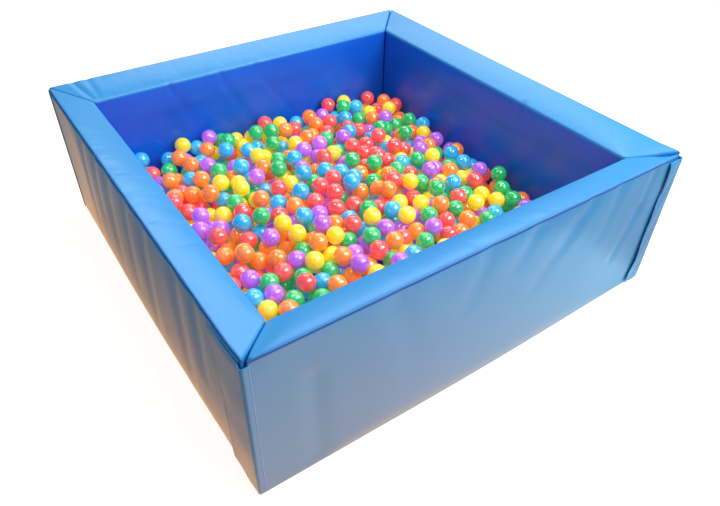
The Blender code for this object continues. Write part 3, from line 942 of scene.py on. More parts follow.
@dataclass
class PaddedWall:
    """One wall: its cover and seams, its foam, and its closing flap."""

    side: Side
    flap_width: float
    free_edge: Sequence[Span]                      # heights, each with the free edge's distance there
    seam_place: SeamPlace
    folds: Sequence[Fold] = ()
    dents: Sequence[Dent] = ()
    cuts: tuple[int, int, int] = (150, 12, 50)
    end_pull: float = 0.35                         # how far the points are drawn to the ends,
    height_pull: float = 0.6                       # to the top and the underside,
    top_pull: float = 0.3                          # and to the sides of the top face
    outer_crown: float = 0.010
    inner_crown: float = 0.003
    crown_level: float = 0.25                      # share of the height where the outer face stands out most
    inner_level: float = 0.3                       # share of the height where the inner crown starts
    wear_reach: float = 0.012                      # how far the wear of an edge reaches
    fade_span: Span = (0.4, 0.9)                   # across the wall, where the painted sheen dies away
    pocket_depth: float = 0.014
    foam_inset: Place = (0.020, 0.010, 0.008)
    foam_foot: float = 0.002                       # the foam's least height over the floor
    foam_cuts: tuple[int, int, int] = (24, 6, 10)
    outside: float = 0.05                          # how far out the rays start that find the cover
    ray_length: float = 0.2
    swelling: Swelling = Swelling()
    seam: TopSeam = TopSeam()
    flap: FlapForm = FlapForm()
    cover: bpy.types.Object = field(init=False)
    tree: BVHTree = field(init=False)

    def build(self) -> None:
        """Make the wall's pieces."""
        self.build_cover()
        self.build_seams()
        self.build_foam()
        self.build_flap()
        self.dress_fittings()

    def block(self) -> bmesh.types.BMesh:
        """Make the wall before its ends are mitred, with a pocket for the zip in its underside.

        Returns:
            The bmesh.
        """
        low, high = (-LENGTH / 2, FRONT, 0.0), (LENGTH / 2, FRONT + THICKNESS, HEIGHT)
        bm = rounded_box(low, high, EDGE, self.cuts)
        zip_low, zip_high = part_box("front_wall_zip")
        half = (zip_high.y - zip_low.y) / 2 - ZIP_BRIM + ZIP_PLAY
        ends = zip_high.x - ZIP_BRIM
        under = [v for v in bm.verts if abs(v.co.z) < SAME]
        rows = sorted({round(v.co.y, 6) for v in under})
        for target in (FRONT + ZIP_INSET - half, FRONT + ZIP_INSET + half):
            row = min(rows, key=lambda y: abs(y - target))
            for vert in under:
                if abs(vert.co.y - row) < ON_FACE:
                    vert.co.y = target
        pocket = [
            f for f in bm.faces
            if all(abs(v.co.z) < SAME and abs(v.co.x) < ends for v in f.verts)
            and abs(f.calc_center_median().y - FRONT - ZIP_INSET) < half
        ]
        swept = bmesh.ops.extrude_face_region(bm, geom=pocket)["geom"]
        raised = [v for v in swept if isinstance(v, bmesh.types.BMVert)]
        bmesh.ops.translate(bm, vec=(0, 0, self.pocket_depth), verts=raised)
        bmesh.ops.delete(bm, geom=pocket, context="FACES")
        return bm

    def shaped(self, flat: np.ndarray) -> np.ndarray:
        """Draw the block's rows to the edges, mitre its ends and give it its rim and crown.

        Args:
            flat: the points of the plain block.

        Returns:
            The same points in their new places.
        """
        x, y, z = flat.T.copy()
        half = LENGTH / 2 - EDGE
        inside = np.abs(x) < half
        x[inside] = spread(x[inside] / half, self.end_pull) * half
        span = HEIGHT - 2 * EDGE
        inside = (z > EDGE) & (z < HEIGHT - EDGE)
        z[inside] = EDGE + spread((z[inside] - EDGE) / span, self.height_pull) * span
        top = z > HEIGHT / 2
        depth = THICKNESS / 2 - EDGE
        middle = FRONT + THICKNESS / 2
        inside = (np.abs(y - middle) < depth) & top
        y[inside] = middle + spread((y[inside] - middle) / depth, self.top_pull) * depth
        across = (y - FRONT) / THICKNESS
        x *= (LENGTH / 2 - (y - FRONT)) / (LENGTH / 2)
        z *= 1 - RIM_FALL * across / HEIGHT
        return self.crowned(np.column_stack([x, y, z]), across)

    def crowned(self, points: np.ndarray, across: np.ndarray) -> np.ndarray:
        """Fill the cover out as its foam does.

        Args:
            points: the mitred wall's points.
            across: where each lies from the outer face, 0, to the inner one, 1.

        Returns:
            The points with their crown.
        """
        x, y, z = points.T
        along = (1 - np.clip(np.abs(x) / (LENGTH / 2), 0, 1) ** 2) ** 2
        level = self.crown_level * HEIGHT
        out = self.outer_crown * along * (1 - ((z - level) / (HEIGHT - level)) ** 2) * (1 - across)
        start = self.inner_level
        rise = np.clip((z - start * HEIGHT) / ((1 - start) * HEIGHT - RIM_FALL), 0, 1)
        inward = self.inner_crown * along * 4 * rise * (1 - rise) * across
        up = self.inner_crown * along * 4 * across * (1 - across) * z / HEIGHT
        return np.column_stack([x, y - out + inward, z + up])

    def build_cover(self) -> None:
        """Make the padded cover: its shape, the push of the foam, its folds, and its place."""
        name = self.side.wall + "_cover_padded"
        self.cover = new_object(name, self.block(), VINYL)
        mesh = self.cover.data
        flat = coordinates(mesh)
        points = self.shaped(flat)
        move_points(mesh, points)
        off_faces = np.sort(
            np.column_stack([
                LENGTH / 2 - np.abs(flat[:, 0]),
                THICKNESS / 2 - np.abs(flat[:, 1] - FRONT - THICKNESS / 2),
                HEIGHT / 2 - np.abs(flat[:, 2] - HEIGHT / 2),
            ]), axis=1,
        )
        store(mesh, "wear", "FLOAT", np.exp(-((off_faces[:, 1] / self.wear_reach) ** 2)))
        # painted sheen on the outer and top panels
        store(mesh, "faded", "FLOAT", self.faded_share(flat))
        # painted shade in the groove under the top seam
        store(mesh, "seam", "FLOAT", self.seam_share(flat))
        points = self.inflated(flat, points)
        move_points(mesh, points)
        self.fold(points)
        mesh.transform(self.side.turn)
        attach(self.cover, self.side.wall)
        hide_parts(self.side.wall + "_cover")
        subdivide(self.cover)
        log.info("%s: %d faces before its subdivision", name, len(mesh.polygons))

    def free_points(self, flat: np.ndarray) -> np.ndarray:
        """Tell which points the foam can move.

        Args:
            flat: the points of the plain block.

        Returns:
            True on the outer, inner and top faces, and False on the edges, the ends and the underside.
        """
        x, y, z = flat.T
        between_ends = np.abs(x) < LENGTH / 2 - EDGE + ON_FACE
        upright = (z > EDGE - ON_FACE) & (z < HEIGHT - EDGE + ON_FACE)
        side = ((y < FRONT + ON_FACE) | (y > FRONT + THICKNESS - ON_FACE)) & upright
        top = (z > HEIGHT - ON_FACE) & (np.abs(y - FRONT - THICKNESS / 2) < THICKNESS / 2 - EDGE + ON_FACE)
        return between_ends & (side | top)

    def faded_share(self, flat: np.ndarray) -> np.ndarray:
        """How much painted sheen each point gets: 1 on the outer and top panels, and 0 on the inner one."""
        across = (flat[:, 1] - FRONT) / THICKNESS
        return np.where(flat[:, 2] > HEIGHT - 2 * EDGE, 1.0, 1.0 - smooth_step(across, *self.fade_span))

    def seam_share(self, flat: np.ndarray) -> np.ndarray:
        """Say how dark the painted shade in the groove beside the top panel's seam is.

        Args:
            flat: the points of the plain block.

        Returns:
            Nearly 1 in the groove, and 0 away from it.
        """
        outer = flat[:, 1] < FRONT + EDGE
        middle = self.seam.drop / 2
        below = (HEIGHT - middle - flat[:, 2]) / middle
        return self.seam.groove_level * outer * np.exp(-(below**2) * self.seam.groove_falloff)

    def swelling_room(self, flat: np.ndarray) -> np.ndarray:
        """Say how far the cover may swell past its crown.

        Args:
            flat: the points of the plain block.

        Returns:
            The room of each point, 0 where it is held.
        """
        x, y, z = flat.T
        form = self.swelling
        off_end = LENGTH / 2 - np.abs(x)
        above_balls = smooth_step(z, form.ball_line, form.ball_line + form.ball_margin)
        outer = form.outer_room * smooth_step(off_end, *form.outer_span)
        inner = form.other_room * smooth_step(off_end, *form.inner_span) * above_balls
        top = form.other_room * smooth_step(off_end, *form.top_span)
        facing = np.where(y < FRONT + ON_FACE, outer, np.where(z > HEIGHT - ON_FACE, top, inner))
        return np.where(self.free_points(flat), facing, 0.0)

    def inflated(self, flat: np.ndarray, points: np.ndarray) -> np.ndarray:
        """Blow the cover out from within, held at its edges, and read where its points come to rest.

        Args:
            flat: the points of the plain block.
            points: the same points with their crown.

        Returns:
            The new points, moved no further than the room that each has.
        """
        form = self.swelling
        out = normals(self.cover.data)
        held = self.cover.vertex_groups.new(name="held")
        held.add(np.flatnonzero(~self.free_points(flat)).tolist(), 1.0, "REPLACE")
        cloth = self.cover.modifiers.new("cloth", "CLOTH")
        settings = cloth.settings
        settings.quality = 5
        settings.mass = 0.2
        settings.tension_stiffness = settings.compression_stiffness = 25
        settings.shear_stiffness = 8
        settings.bending_stiffness = 0.15
        settings.use_pressure = True
        settings.uniform_pressure_force = form.pressure
        settings.effector_weights.gravity = 0
        settings.vertex_group_mass = "held"
        settings.shrink_min = -form.slack
        cloth.collision_settings.use_collision = False
        scene = bpy.context.scene
        for number in range(1, form.frames + 1):
            scene.frame_set(number)
        evaluated = self.cover.evaluated_get(bpy.context.evaluated_depsgraph_get())
        swollen = coordinates(evaluated.data)
        self.cover.modifiers.remove(cloth)
        self.cover.vertex_groups.remove(held)
        scene.frame_set(1)
        shift = swollen - points
        away = (shift * out).sum(axis=1)
        room = np.maximum(self.swelling_room(flat), SAME)
        log.info("%s swells %.1f mm before its cap", self.side.wall, 1000 * away.max())
        sunk = np.maximum(away, -form.inward_share * room)
        kept = np.where(away > 0, room * np.tanh(away / room), sunk)
        along = (shift - away[:, None] * out) * np.clip(room / form.other_room, 0, 1)[:, None]
        return points + kept[:, None] * out + np.clip(along, -form.slide, form.slide)

    def fold(self, points: np.ndarray) -> None:
        """Press the folds and dents into the cover.

        Args:
            points: where its points lie before that.
        """
        mesh = self.cover.data
        out = normals(mesh)
        lift = sum((fold.lift(points) for fold in self.folds), np.zeros(len(points)))
        moved = points + lift[:, None] * out
        for dent in self.dents:
            moved = moved + dent.move(points)
        moved[:, 2] = np.maximum(moved[:, 2], 0.0)
        move_points(mesh, moved)

    def on_cover(self, start: Place, towards: Place) -> Vector:
        """Find the cover along a line from outside.

        Args:
            start: where the line starts, in the front wall's frame.
            towards: which way it runs, in the same frame.

        Returns:
            The point that it meets, on this wall, or its own start there.
        """
        turn = self.side.turn
        hit = self.tree.ray_cast(turn @ Vector(start), turn.to_3x3() @ Vector(towards), self.ray_length)[0]
        return hit if hit is not None else turn @ Vector(start)

    def build_seams(self) -> None:
        """Make the ridge where the top panel is sewn on, and its stitches."""
        deps = bpy.context.evaluated_depsgraph_get()
        self.tree = BVHTree.FromObject(self.cover, deps)
        seam = self.seam
        steps = np.linspace(-LENGTH / 2 + seam.end, LENGTH / 2 - seam.end, seam.steps)
        if self.seam_place is SeamPlace.OUTER_FACE:
            before, level = FRONT - self.outside, HEIGHT - seam.drop
            ridge = [self.on_cover((x, before, level), (0, 1, 0)) for x in steps]
            sewn = [self.on_cover((x, before, level - seam.row_drop), (0, 1, 0)) for x in steps]
        else:
            above = HEIGHT + self.outside
            ridge = [self.on_cover((x, FRONT + seam.inset, above), (0, 0, -1)) for x in steps]
            sewn = [self.on_cover((x, FRONT + seam.row_inset, above), (0, 0, -1)) for x in steps]
        lap = tube(self.side.wall + "_top_seam", ridge, seam.radius, VINYL)
        # the ridge gets the panels' painted sheen
        store(lap.data, "faded", "FLOAT", np.ones(len(lap.data.vertices)))
        row = stitches(self.side.wall + "_top_stitches", sewn)
        for piece in (lap, row):
            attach(piece, self.side.wall)

    def build_foam(self) -> None:
        """Make the foam block inside the cover, with its groove for the zip."""
        slim = replace(self, cuts=self.foam_cuts)
        foam = new_object(self.side.wall + "_foam_core", slim.block(), FOAM)
        points = slim.shaped(coordinates(foam.data))
        middle = np.array([0.0, FRONT + THICKNESS / 2, HEIGHT / 2])
        size = np.array([LENGTH / 2, THICKNESS / 2, HEIGHT / 2])
        points = middle + (points - middle) * (1 - np.array(self.foam_inset) / size)
        points[:, 2] = np.maximum(points[:, 2], self.foam_foot)
        move_points(foam.data, points)
        foam.data.transform(self.side.turn)
        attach(foam, self.side.wall)
        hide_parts(self.side.wall + "_foam")

    def reach(self, level: float) -> float:
        """Outer corner to the flap's free edge at a height."""
        heights, widths = zip(*self.free_edge)
        return float(np.interp(level, heights, widths))

    def build_flap(self) -> None:
        """Make the closing flap, from its hem round the corner to its free edge on the next wall."""
        hinge = self.side.turn.inverted() @ self.hinge()
        low, high = (self.side.turn.inverted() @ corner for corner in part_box(self.side.wall + "_flap_hem"))
        hem_end = max(low.x, high.x)
        foot, head = low.z, high.z
        columns = round(self.flap_width / self.flap.cell) + self.flap.more_columns
        bm = bmesh.new()
        bmesh.ops.create_grid(bm, x_segments=columns, y_segments=self.flap.rows, size=0.5)
        for vert in bm.verts:
            along, level = vert.co.x + 0.5, foot + (vert.co.y + 0.5) * (head - foot)
            vert.co = self.flap.point(along, level, hinge, hem_end, self)
        bmesh.ops.recalc_face_normals(bm, faces=bm.faces[:])
        flap = new_object(self.side.wall + "_closing_flap", bm, VINYL)
        store(flap.data, "wear", "FLOAT", np.full(len(flap.data.vertices), self.flap.wear))
        # the flap gets the outer panels' painted sheen
        store(flap.data, "faded", "FLOAT", np.ones(len(flap.data.vertices)))
        flap.data.transform(self.side.turn)
        thicken(flap, self.flap.gauge)
        self.join_flap(flap)
        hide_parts(self.side.wall + "_flap", self.side.wall + "_flap_hem")
        self.build_flap_stitches(hinge, hem_end, foot, head)

    def hinge(self) -> Vector:
        """Find the line that the flap turns about.

        Returns:
            A point of it, where the pit stands.
        """
        for joint in frame["joints"]:
            if joint["name"] == self.side.wall + "_flap_peel":
                return Vector(joint["pos_m"])
        raise ValueError(f"{self.side.wall} has no flap joint")

    def join_flap(self, piece: bpy.types.Object) -> None:
        """Bake a piece's place into its mesh.

        Args:
            piece: the flap.
        """
        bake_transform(piece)

    def build_flap_stitches(self, hinge: Vector, hem_end: float, foot: float, head: float) -> None:
        """Make the row of stitches just inside the flap's free edge, and the row down its hem.

        Args:
            hinge: a point of the flap's hinge line, in the front wall's frame.
            hem_end: where the hem starts along its own wall.
            foot, head: the heights of the flap's foot and top.
        """
        turn = self.side.turn
        form = self.flap
        proud = Vector((-form.proud, 0, 0))
        levels = np.linspace(foot + form.row_ends, head - form.row_ends, form.row_steps)
        free = []
        for level in levels:
            share = 1 - form.row_inset / (hem_end - hinge.x + self.reach(level))
            free.append(turn @ (form.point(share, level, hinge, hem_end, self) + proud))
        row = stitches(self.side.wall + "_flap_stitches", free)
        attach(row, self.side.wall + "_flap")
        hem_line = Vector((hem_end - form.hem_inset, hinge.y - form.proud, 0))
        hem = [turn @ (hem_line + Vector((0, 0, level))) for level in levels]
        row = stitches(self.side.wall + "_hem_stitches", hem)
        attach(row, self.side.wall)

    def dress_fittings(self) -> None:
        """Finish the tapes, the zip and its slider, whose shapes are right."""
        for part, finish in (
            ("hook_tape", HOOK_TAPE), ("loop_tape", LOOP_TAPE),
            ("zip", ZIP_TAPE), ("zip_slider", SLIDER_METAL),
        ):
            dress(f"{self.side.wall}_{part}", finish)


def dress(node: str, finish: bpy.types.Material) -> None:
    """Give a node its material.

    Args:
        node: the node's name.
        finish: its material.
    """
    mesh = frame["nodes"][node].data
    mesh.materials.clear()
    mesh.materials.append(finish)


@dataclass
class FloorMat:
    """The mat under the balls: its cover, its edge seam and its foam."""

    half: float = INNER_HALF - MAT_GAP
    edge: float = 0.004
    cuts: tuple[int, int, int] = (90, 90, 5)
    foam_cuts: tuple[int, int, int] = (12, 12, 2)
    foam_inset: float = 0.003
    wear_reach: float = 0.02                       # how far the wear of its edges reaches
    sag: float = 0.0012                            # how far its top lies below its edges
    hollows: int = 60                              # where balls and feet have pressed it
    hollow_field: float = 0.7
    hollow_radius: float = 0.03
    hollow_depth: float = 0.0008
    stitch_inset: float = 0.010
    stitch_sink: float = 0.0008

    def build(self) -> None:
        """Make the mat's pieces."""
        low, high = (-self.half, -self.half, 0.0), (self.half, self.half, MAT_THICKNESS)
        block = rounded_box(low, high, self.edge, self.cuts)
        cover = new_object("floor_mat_cover_padded", block, MAT_VINYL)
        points = coordinates(cover.data)
        off = np.sort(self.half - np.abs(points[:, :2]), axis=1)[:, 0]
        store(cover.data, "wear", "FLOAT", np.exp(-((off / self.wear_reach) ** 2)))
        out = normals(cover.data)
        upper = points[:, 2] > MAT_THICKNESS / 2
        sink = self.sag * (1 - smooth_step(off, 0.0, self.wear_reach)) * upper
        rng = np.random.default_rng(SEED)
        for hollow in rng.uniform(-self.hollow_field, self.hollow_field, (self.hollows, 2)):
            far = np.linalg.norm(points[:, :2] - hollow, axis=1) / self.hollow_radius
            sink += self.hollow_depth * np.exp(-(far**2)) * upper
        move_points(cover.data, points - sink[:, None] * np.abs(out[:, 2:3]) * [0, 0, 1])
        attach(cover, "floor_mat")
        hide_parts("floor_mat_cover")
        subdivide(cover)
        self.build_seam()
        self.build_foam()
        dress("floor_mat_zip", ZIP_TAPE)
        dress("floor_mat_zip_slider", SLIDER_METAL)

    def build_seam(self) -> None:
        """Make the stitches round the top of the mat."""
        inside = self.half - self.stitch_inset
        signs = ((-1, -1), (1, -1), (1, 1), (-1, 1), (-1, -1))
        level = MAT_THICKNESS - self.stitch_sink
        corners = [Vector((across * inside, along * inside, level)) for across, along in signs]
        row = stitches("floor_mat_stitches", corners)
        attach(row, "floor_mat")

    def build_foam(self) -> None:
        """Make the mat's foam, hidden in the cover."""
        inset = self.foam_inset
        low = (inset - self.half, inset - self.half, inset)
        high = (self.half - inset, self.half - inset, MAT_THICKNESS - inset)
        foam = new_object("floor_mat_foam_core", rounded_box(low, high, self.edge, self.foam_cuts), FOAM)
        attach(foam, "floor_mat")
        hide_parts("floor_mat_foam")


# The balls


@dataclass
class Balls:
    """The heap, one piece for each colour, and the loose balls on it."""

    most: int = 2000
    drops: int = 9000
    relief: float = 0.010                          # how far a ball may lie above the heap's surface
    back_rise: float = 0.028                       # and how much more beside the back wall
    wall_gap: float = 0.0045                       # between the balls and the walls
    clearance: float = 0.0003                      # between the heap and a loose ball
    first_step: float = 0.4 * BALL_RADIUS          # how far a rolling ball sinks at a time, at first
    last_step: float = 0.0004                      # and at last
    least_gain: float = 0.2                        # share of a step that it has to sink to go on with it
    rolling_turns: int = 5
    resting_turns: int = 25
    push_past: float = 0.00005                     # how far past touching a ball is pushed
    overlap: float = 0.0004                        # how far a ball at rest may cut into another
    near: float = 6 * BALL_RADIUS                  # balls further off in plan aren't looked at
    blur: float = 3 * BALL_RADIUS                  # how far the heights of the heap's peaks are blurred
    unused: float = 9.0                            # where the rows that hold no ball lie
    wall_band: float = 0.002                       # beside the heap's sides, where its rim isn't a peak
    top_depth: float = 2.2 * BALL_RADIUS           # how deep the finely cut balls reach
    bottom: float = MAT_THICKNESS + BALL_GAP + BALL_RADIUS
    fine_cuts: int = 3
    coarse_cuts: int = 2
    shares: tuple[float, ...] = (0.16, 0.18, 0.19, 0.17, 0.14, 0.16)
    peaks: np.ndarray = field(init=False)

    def build(self) -> None:
        """Make all the balls."""
        rng = np.random.default_rng(SEED)
        loose = self.loose_centres()
        self.peaks = np.vstack([self.top_centres(), loose])
        heap = self.poured(loose, rng)
        near_top = heap[:, 2] > self.surface(heap[:, :2]) - self.top_depth
        counts = (len(heap), near_top.sum(), len(loose))
        log.info("%d balls in the heap, %d of them near its top, and %d loose", *counts)
        colors = rng.choice(len(BallColor), len(heap), p=self.shares)
        finishes = {color: BallPlastic(color.slot, color.value).build() for color in BallColor}
        for index, color in enumerate(BallColor):
            own = colors == index
            groups = [(heap[own & near_top], self.fine_cuts), (heap[own & ~near_top], self.coarse_cuts)]
            piece = self.group(f"balls_{color.name.lower()}", groups, finishes[color], rng)
            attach(piece, "ball_heap")
            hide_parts("ball_heap")
        for number, centre in enumerate(loose, start=1):
            name = f"loose_ball_{number:02d}"
            color = self.loose_color(name)
            piece = self.group(name + "_blown", [(centre[None], self.fine_cuts)], finishes[color], rng)
            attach(piece, name)
            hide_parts(name)

    def loose_color(self, name: str) -> BallColor:
        """The colour that the record gives a loose ball."""
        slots = {part["node"]: part["material_slot"] for part in frame["record"]["subparts"]}
        return next(color for color in BallColor if color.slot == slots[name])

    def top_centres(self) -> np.ndarray:
        """Find the heap's top balls, one under each peak of its surface.

        Returns:
            Their centres, one row each.
        """
        bm = bmesh.new()
        bm.from_mesh(frame["nodes"]["ball_heap"].data)
        bmesh.ops.remove_doubles(bm, verts=bm.verts, dist=ON_FACE)
        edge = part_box("ball_heap")[1].x - self.wall_band
        peaks = []
        for vert in bm.verts:
            around = [link.other_vert(vert).co.z for link in vert.link_edges]
            if max(abs(vert.co.x), abs(vert.co.y)) < edge and max(around) < vert.co.z:
                peaks.append(tuple(vert.co))
        bm.free()
        return np.array(peaks) - [0, 0, BALL_RADIUS]

    def loose_centres(self) -> np.ndarray:
        """The centres of the loose balls."""
        names = sorted(name for name in frame["nodes"] if name.startswith("loose_ball"))
        return np.array([sum(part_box(name), Vector()) / 2 for name in names])

    def surface(self, plan: np.ndarray) -> np.ndarray:
        """Read the height of the heap's top balls, at their centres.

        Args:
            plan: places in plan, one row each.

        Returns:
            The blurred height at each.
        """
        far = np.linalg.norm(plan[:, None] - self.peaks[None, :, :2], axis=2)
        weight = np.exp(-((far / self.blur) ** 2))
        return (weight * self.peaks[:, 2]).sum(axis=1) / weight.sum(axis=1)

    def poured(self, loose: np.ndarray, rng: np.random.Generator) -> np.ndarray:
        """Drop the balls of the heap one by one, each rolling down to where it comes to rest.

        Args:
            loose: the centres of the loose balls, which the others keep clear of.
            rng: the source of the places they are dropped at.

        Returns:
            Their centres, one row each.
        """
        reach = INNER_HALF - self.wall_gap - BALL_RADIUS
        placed = np.full((self.most, 3), self.unused)
        count = 0
        for plan in rng.uniform(-reach, reach, (self.drops, 2)):
            if count == self.most:
                break
            top = self.surface(plan[None])[0] + self.heaping(plan)
            near = placed[:count][((placed[:count, :2] - plan) ** 2).sum(axis=1) < self.near**2]
            if self.landing(plan, near) > top + BALL_RADIUS:
                continue
            place = self.rolled(plan, near, reach)
            off_loose = np.linalg.norm(loose - place, axis=1).min() - 2 * BALL_RADIUS
            top = self.surface(place[None, :2])[0] + self.heaping(place)
            if place[2] <= top and off_loose > self.clearance and self.free(place, near):
                placed[count] = place
                count += 1
        return placed[:count]

    def heaping(self, place: np.ndarray) -> float:
        """How far above the heap's surface a ball may lie, which is more beside the back wall."""
        return self.relief + self.back_rise * max(0.0, place[1] / INNER_HALF) ** 2

    def landing(self, plan: np.ndarray, near: np.ndarray) -> float:
        """Say how high a falling ball first touches another, or the mat.

        Args:
            plan: where it falls.
            near: the centres of the balls round it.

        Returns:
            The height of its centre there.
        """
        square = ((near[:, :2] - plan) ** 2).sum(axis=1)
        under = square < (2 * BALL_RADIUS) ** 2
        tops = near[under, 2] + np.sqrt((2 * BALL_RADIUS) ** 2 - square[under])
        return float(np.max(tops, initial=self.bottom))

    def rolled(self, plan: np.ndarray, near: np.ndarray, reach: float) -> np.ndarray:
        """Roll a dropped ball down: it sinks in steps, and each ball that it meets turns it aside.

        Args:
            plan: where it is dropped.
            near: the centres of the balls round it.
            reach: how far out a ball's centre can lie.

        Returns:
            Its centre where it comes to rest.
        """
        place = np.array([*plan, self.landing(plan, near)])
        step = self.first_step
        while step > self.last_step:
            lower = self.pushed_out(place - [0, 0, step], near, reach, self.rolling_turns)
            if lower[2] < place[2] - self.least_gain * step:
                place = lower
            else:
                step *= 0.5
        return self.pushed_out(place, near, reach, self.resting_turns)

    def pushed_out(self, place: np.ndarray, near: np.ndarray, reach: float, turns: int) -> np.ndarray:
        """Push a ball out of those that it cuts into, the deepest cut first.

        Args:
            place: its centre.
            near: the centres of the balls round it.
            reach: how far out a ball's centre can lie.
            turns: how often it is pushed at most.

        Returns:
            Its new centre.
        """
        for _ in range(turns):
            place = np.array([*np.clip(place[:2], -reach, reach), max(place[2], self.bottom)])
            span = place - near
            distance = np.sqrt((span**2).sum(axis=1))
            if not len(distance) or distance.min() >= 2 * BALL_RADIUS:
                break
            worst = int(distance.argmin())
            away = span[worst] / max(distance[worst], SAME)
            place = place + away * (2 * BALL_RADIUS + self.push_past - distance[worst])
        return place

    def free(self, place: np.ndarray, near: np.ndarray) -> bool:
        """Whether a ball at a place cuts into no other."""
        return not len(near) or np.linalg.norm(near - place, axis=1).min() > 2 * BALL_RADIUS - self.overlap

    def template(self, cuts: int) -> bpy.types.Mesh:
        """Make one ball: a cube cut into squares and drawn onto a sphere.

        Args:
            cuts: how often each edge of the cube is cut.

        Returns:
            The ball's mesh, round the origin.
        """
        bm = bmesh.new()
        bmesh.ops.create_cube(bm, size=2)
        bmesh.ops.subdivide_edges(bm, edges=bm.edges[:], cuts=cuts, use_grid_fill=True)
        for vert in bm.verts:
            spot = Vector([math.tan(share * math.pi / 4) for share in vert.co])
            vert.co = spot.normalized() * BALL_RADIUS
        mesh = bpy.data.meshes.new("ball")
        bm.to_mesh(mesh)
        bm.free()
        return mesh

    def group(
        self, name: str, groups: Sequence[tuple[np.ndarray, int]], finish: bpy.types.Material,
        rng: np.random.Generator
    ) -> bpy.types.Object:
        """Make one piece of many balls.

        Args:
            name: the piece's name.
            groups: centres, each with the cuts of a ball there.
            finish: its material.
            rng: the source of the balls' turns and tones.

        Returns:
            The piece.
        """
        bm = bmesh.new()
        tones, directions = [], []
        for centres, cuts in groups:
            one = self.template(cuts)
            own = coordinates(one) / BALL_RADIUS
            for centre in centres:
                axis = Vector(rng.normal(size=3)).normalized()
                turned = Matrix.Translation(centre) @ Matrix.Rotation(rng.uniform(0, math.tau), 4, axis)
                ball = one.copy()
                ball.transform(turned)
                bm.from_mesh(ball)
                bpy.data.meshes.remove(ball)
                tones.append(np.full(len(own), rng.uniform()))
                directions.append(own)
            bpy.data.meshes.remove(one)
        piece = new_object(name, bm, finish)
        store(piece.data, "tone", "FLOAT", np.concatenate(tones))
        store(piece.data, "on_ball", "FLOAT_VECTOR", np.concatenate(directions))
        return piece


# The view


@dataclass(frozen=True)
class PhotoCamera:
    """The camera that the corners of the pit in the photograph give."""

    azimuth: float = -35.48
    elevation: float = 39.99
    roll: float = 1.30
    place: Place = (-1.24938, -1.87596, 1.80936)
    lens: float = 31.695
    sensor: float = 36.0
    clip_end: float = 60.0

    def build(self) -> None:
        """Set the scene's camera."""
        turn, lift, tilt = (math.radians(angle) for angle in (self.azimuth, self.elevation, self.roll))
        back = Vector((math.sin(turn) * math.cos(lift), -math.cos(turn) * math.cos(lift), math.sin(lift)))
        across = Vector((math.cos(turn), math.sin(turn), 0))
        up = back.cross(across)
        right = math.cos(tilt) * across + math.sin(tilt) * up
        above = -math.sin(tilt) * across + math.cos(tilt) * up
        camera = bpy.data.cameras.new("camera")
        camera.lens = self.lens
        camera.sensor_width = self.sensor
        camera.clip_end = self.clip_end
        stand = bpy.data.objects.new("camera", camera)
        facing = Matrix((right, above, back)).transposed().to_4x4()
        stand.matrix_world = Matrix.Translation(self.place) @ facing
        bpy.context.scene.collection.objects.link(stand)
        bpy.context.scene.camera = stand


@dataclass(frozen=True)
class Lamp:
    """A soft lamp that looks at the pit."""

    name: str
    azimuth: float               # from +X towards +Y, in degrees
    elevation: float
    distance: float
    size: tuple[float, float]
    level: float                 # watts for each square metre of the lamp
    color: Color = (1.0, 1.0, 1.0)
    target: Place = (0.0, 0.0, 0.3)

    def build(self) -> None:
        """Add the lamp."""
        light = bpy.data.lights.new(self.name, "AREA")
        light.shape = "RECTANGLE"
        light.size, light.size_y = self.size
        light.energy = self.level * self.size[0] * self.size[1]
        light.color = self.color
        turn, lift = math.radians(self.azimuth), math.radians(self.elevation)
        away = Vector((math.cos(turn) * math.cos(lift), math.sin(turn) * math.cos(lift), math.sin(lift)))
        stand = bpy.data.objects.new(self.name, light)
        facing = away.to_track_quat("Z", "Y").to_matrix().to_4x4()
        stand.matrix_world = Matrix.Translation(Vector(self.target) + away * self.distance) @ facing
        bpy.context.scene.collection.objects.link(stand)


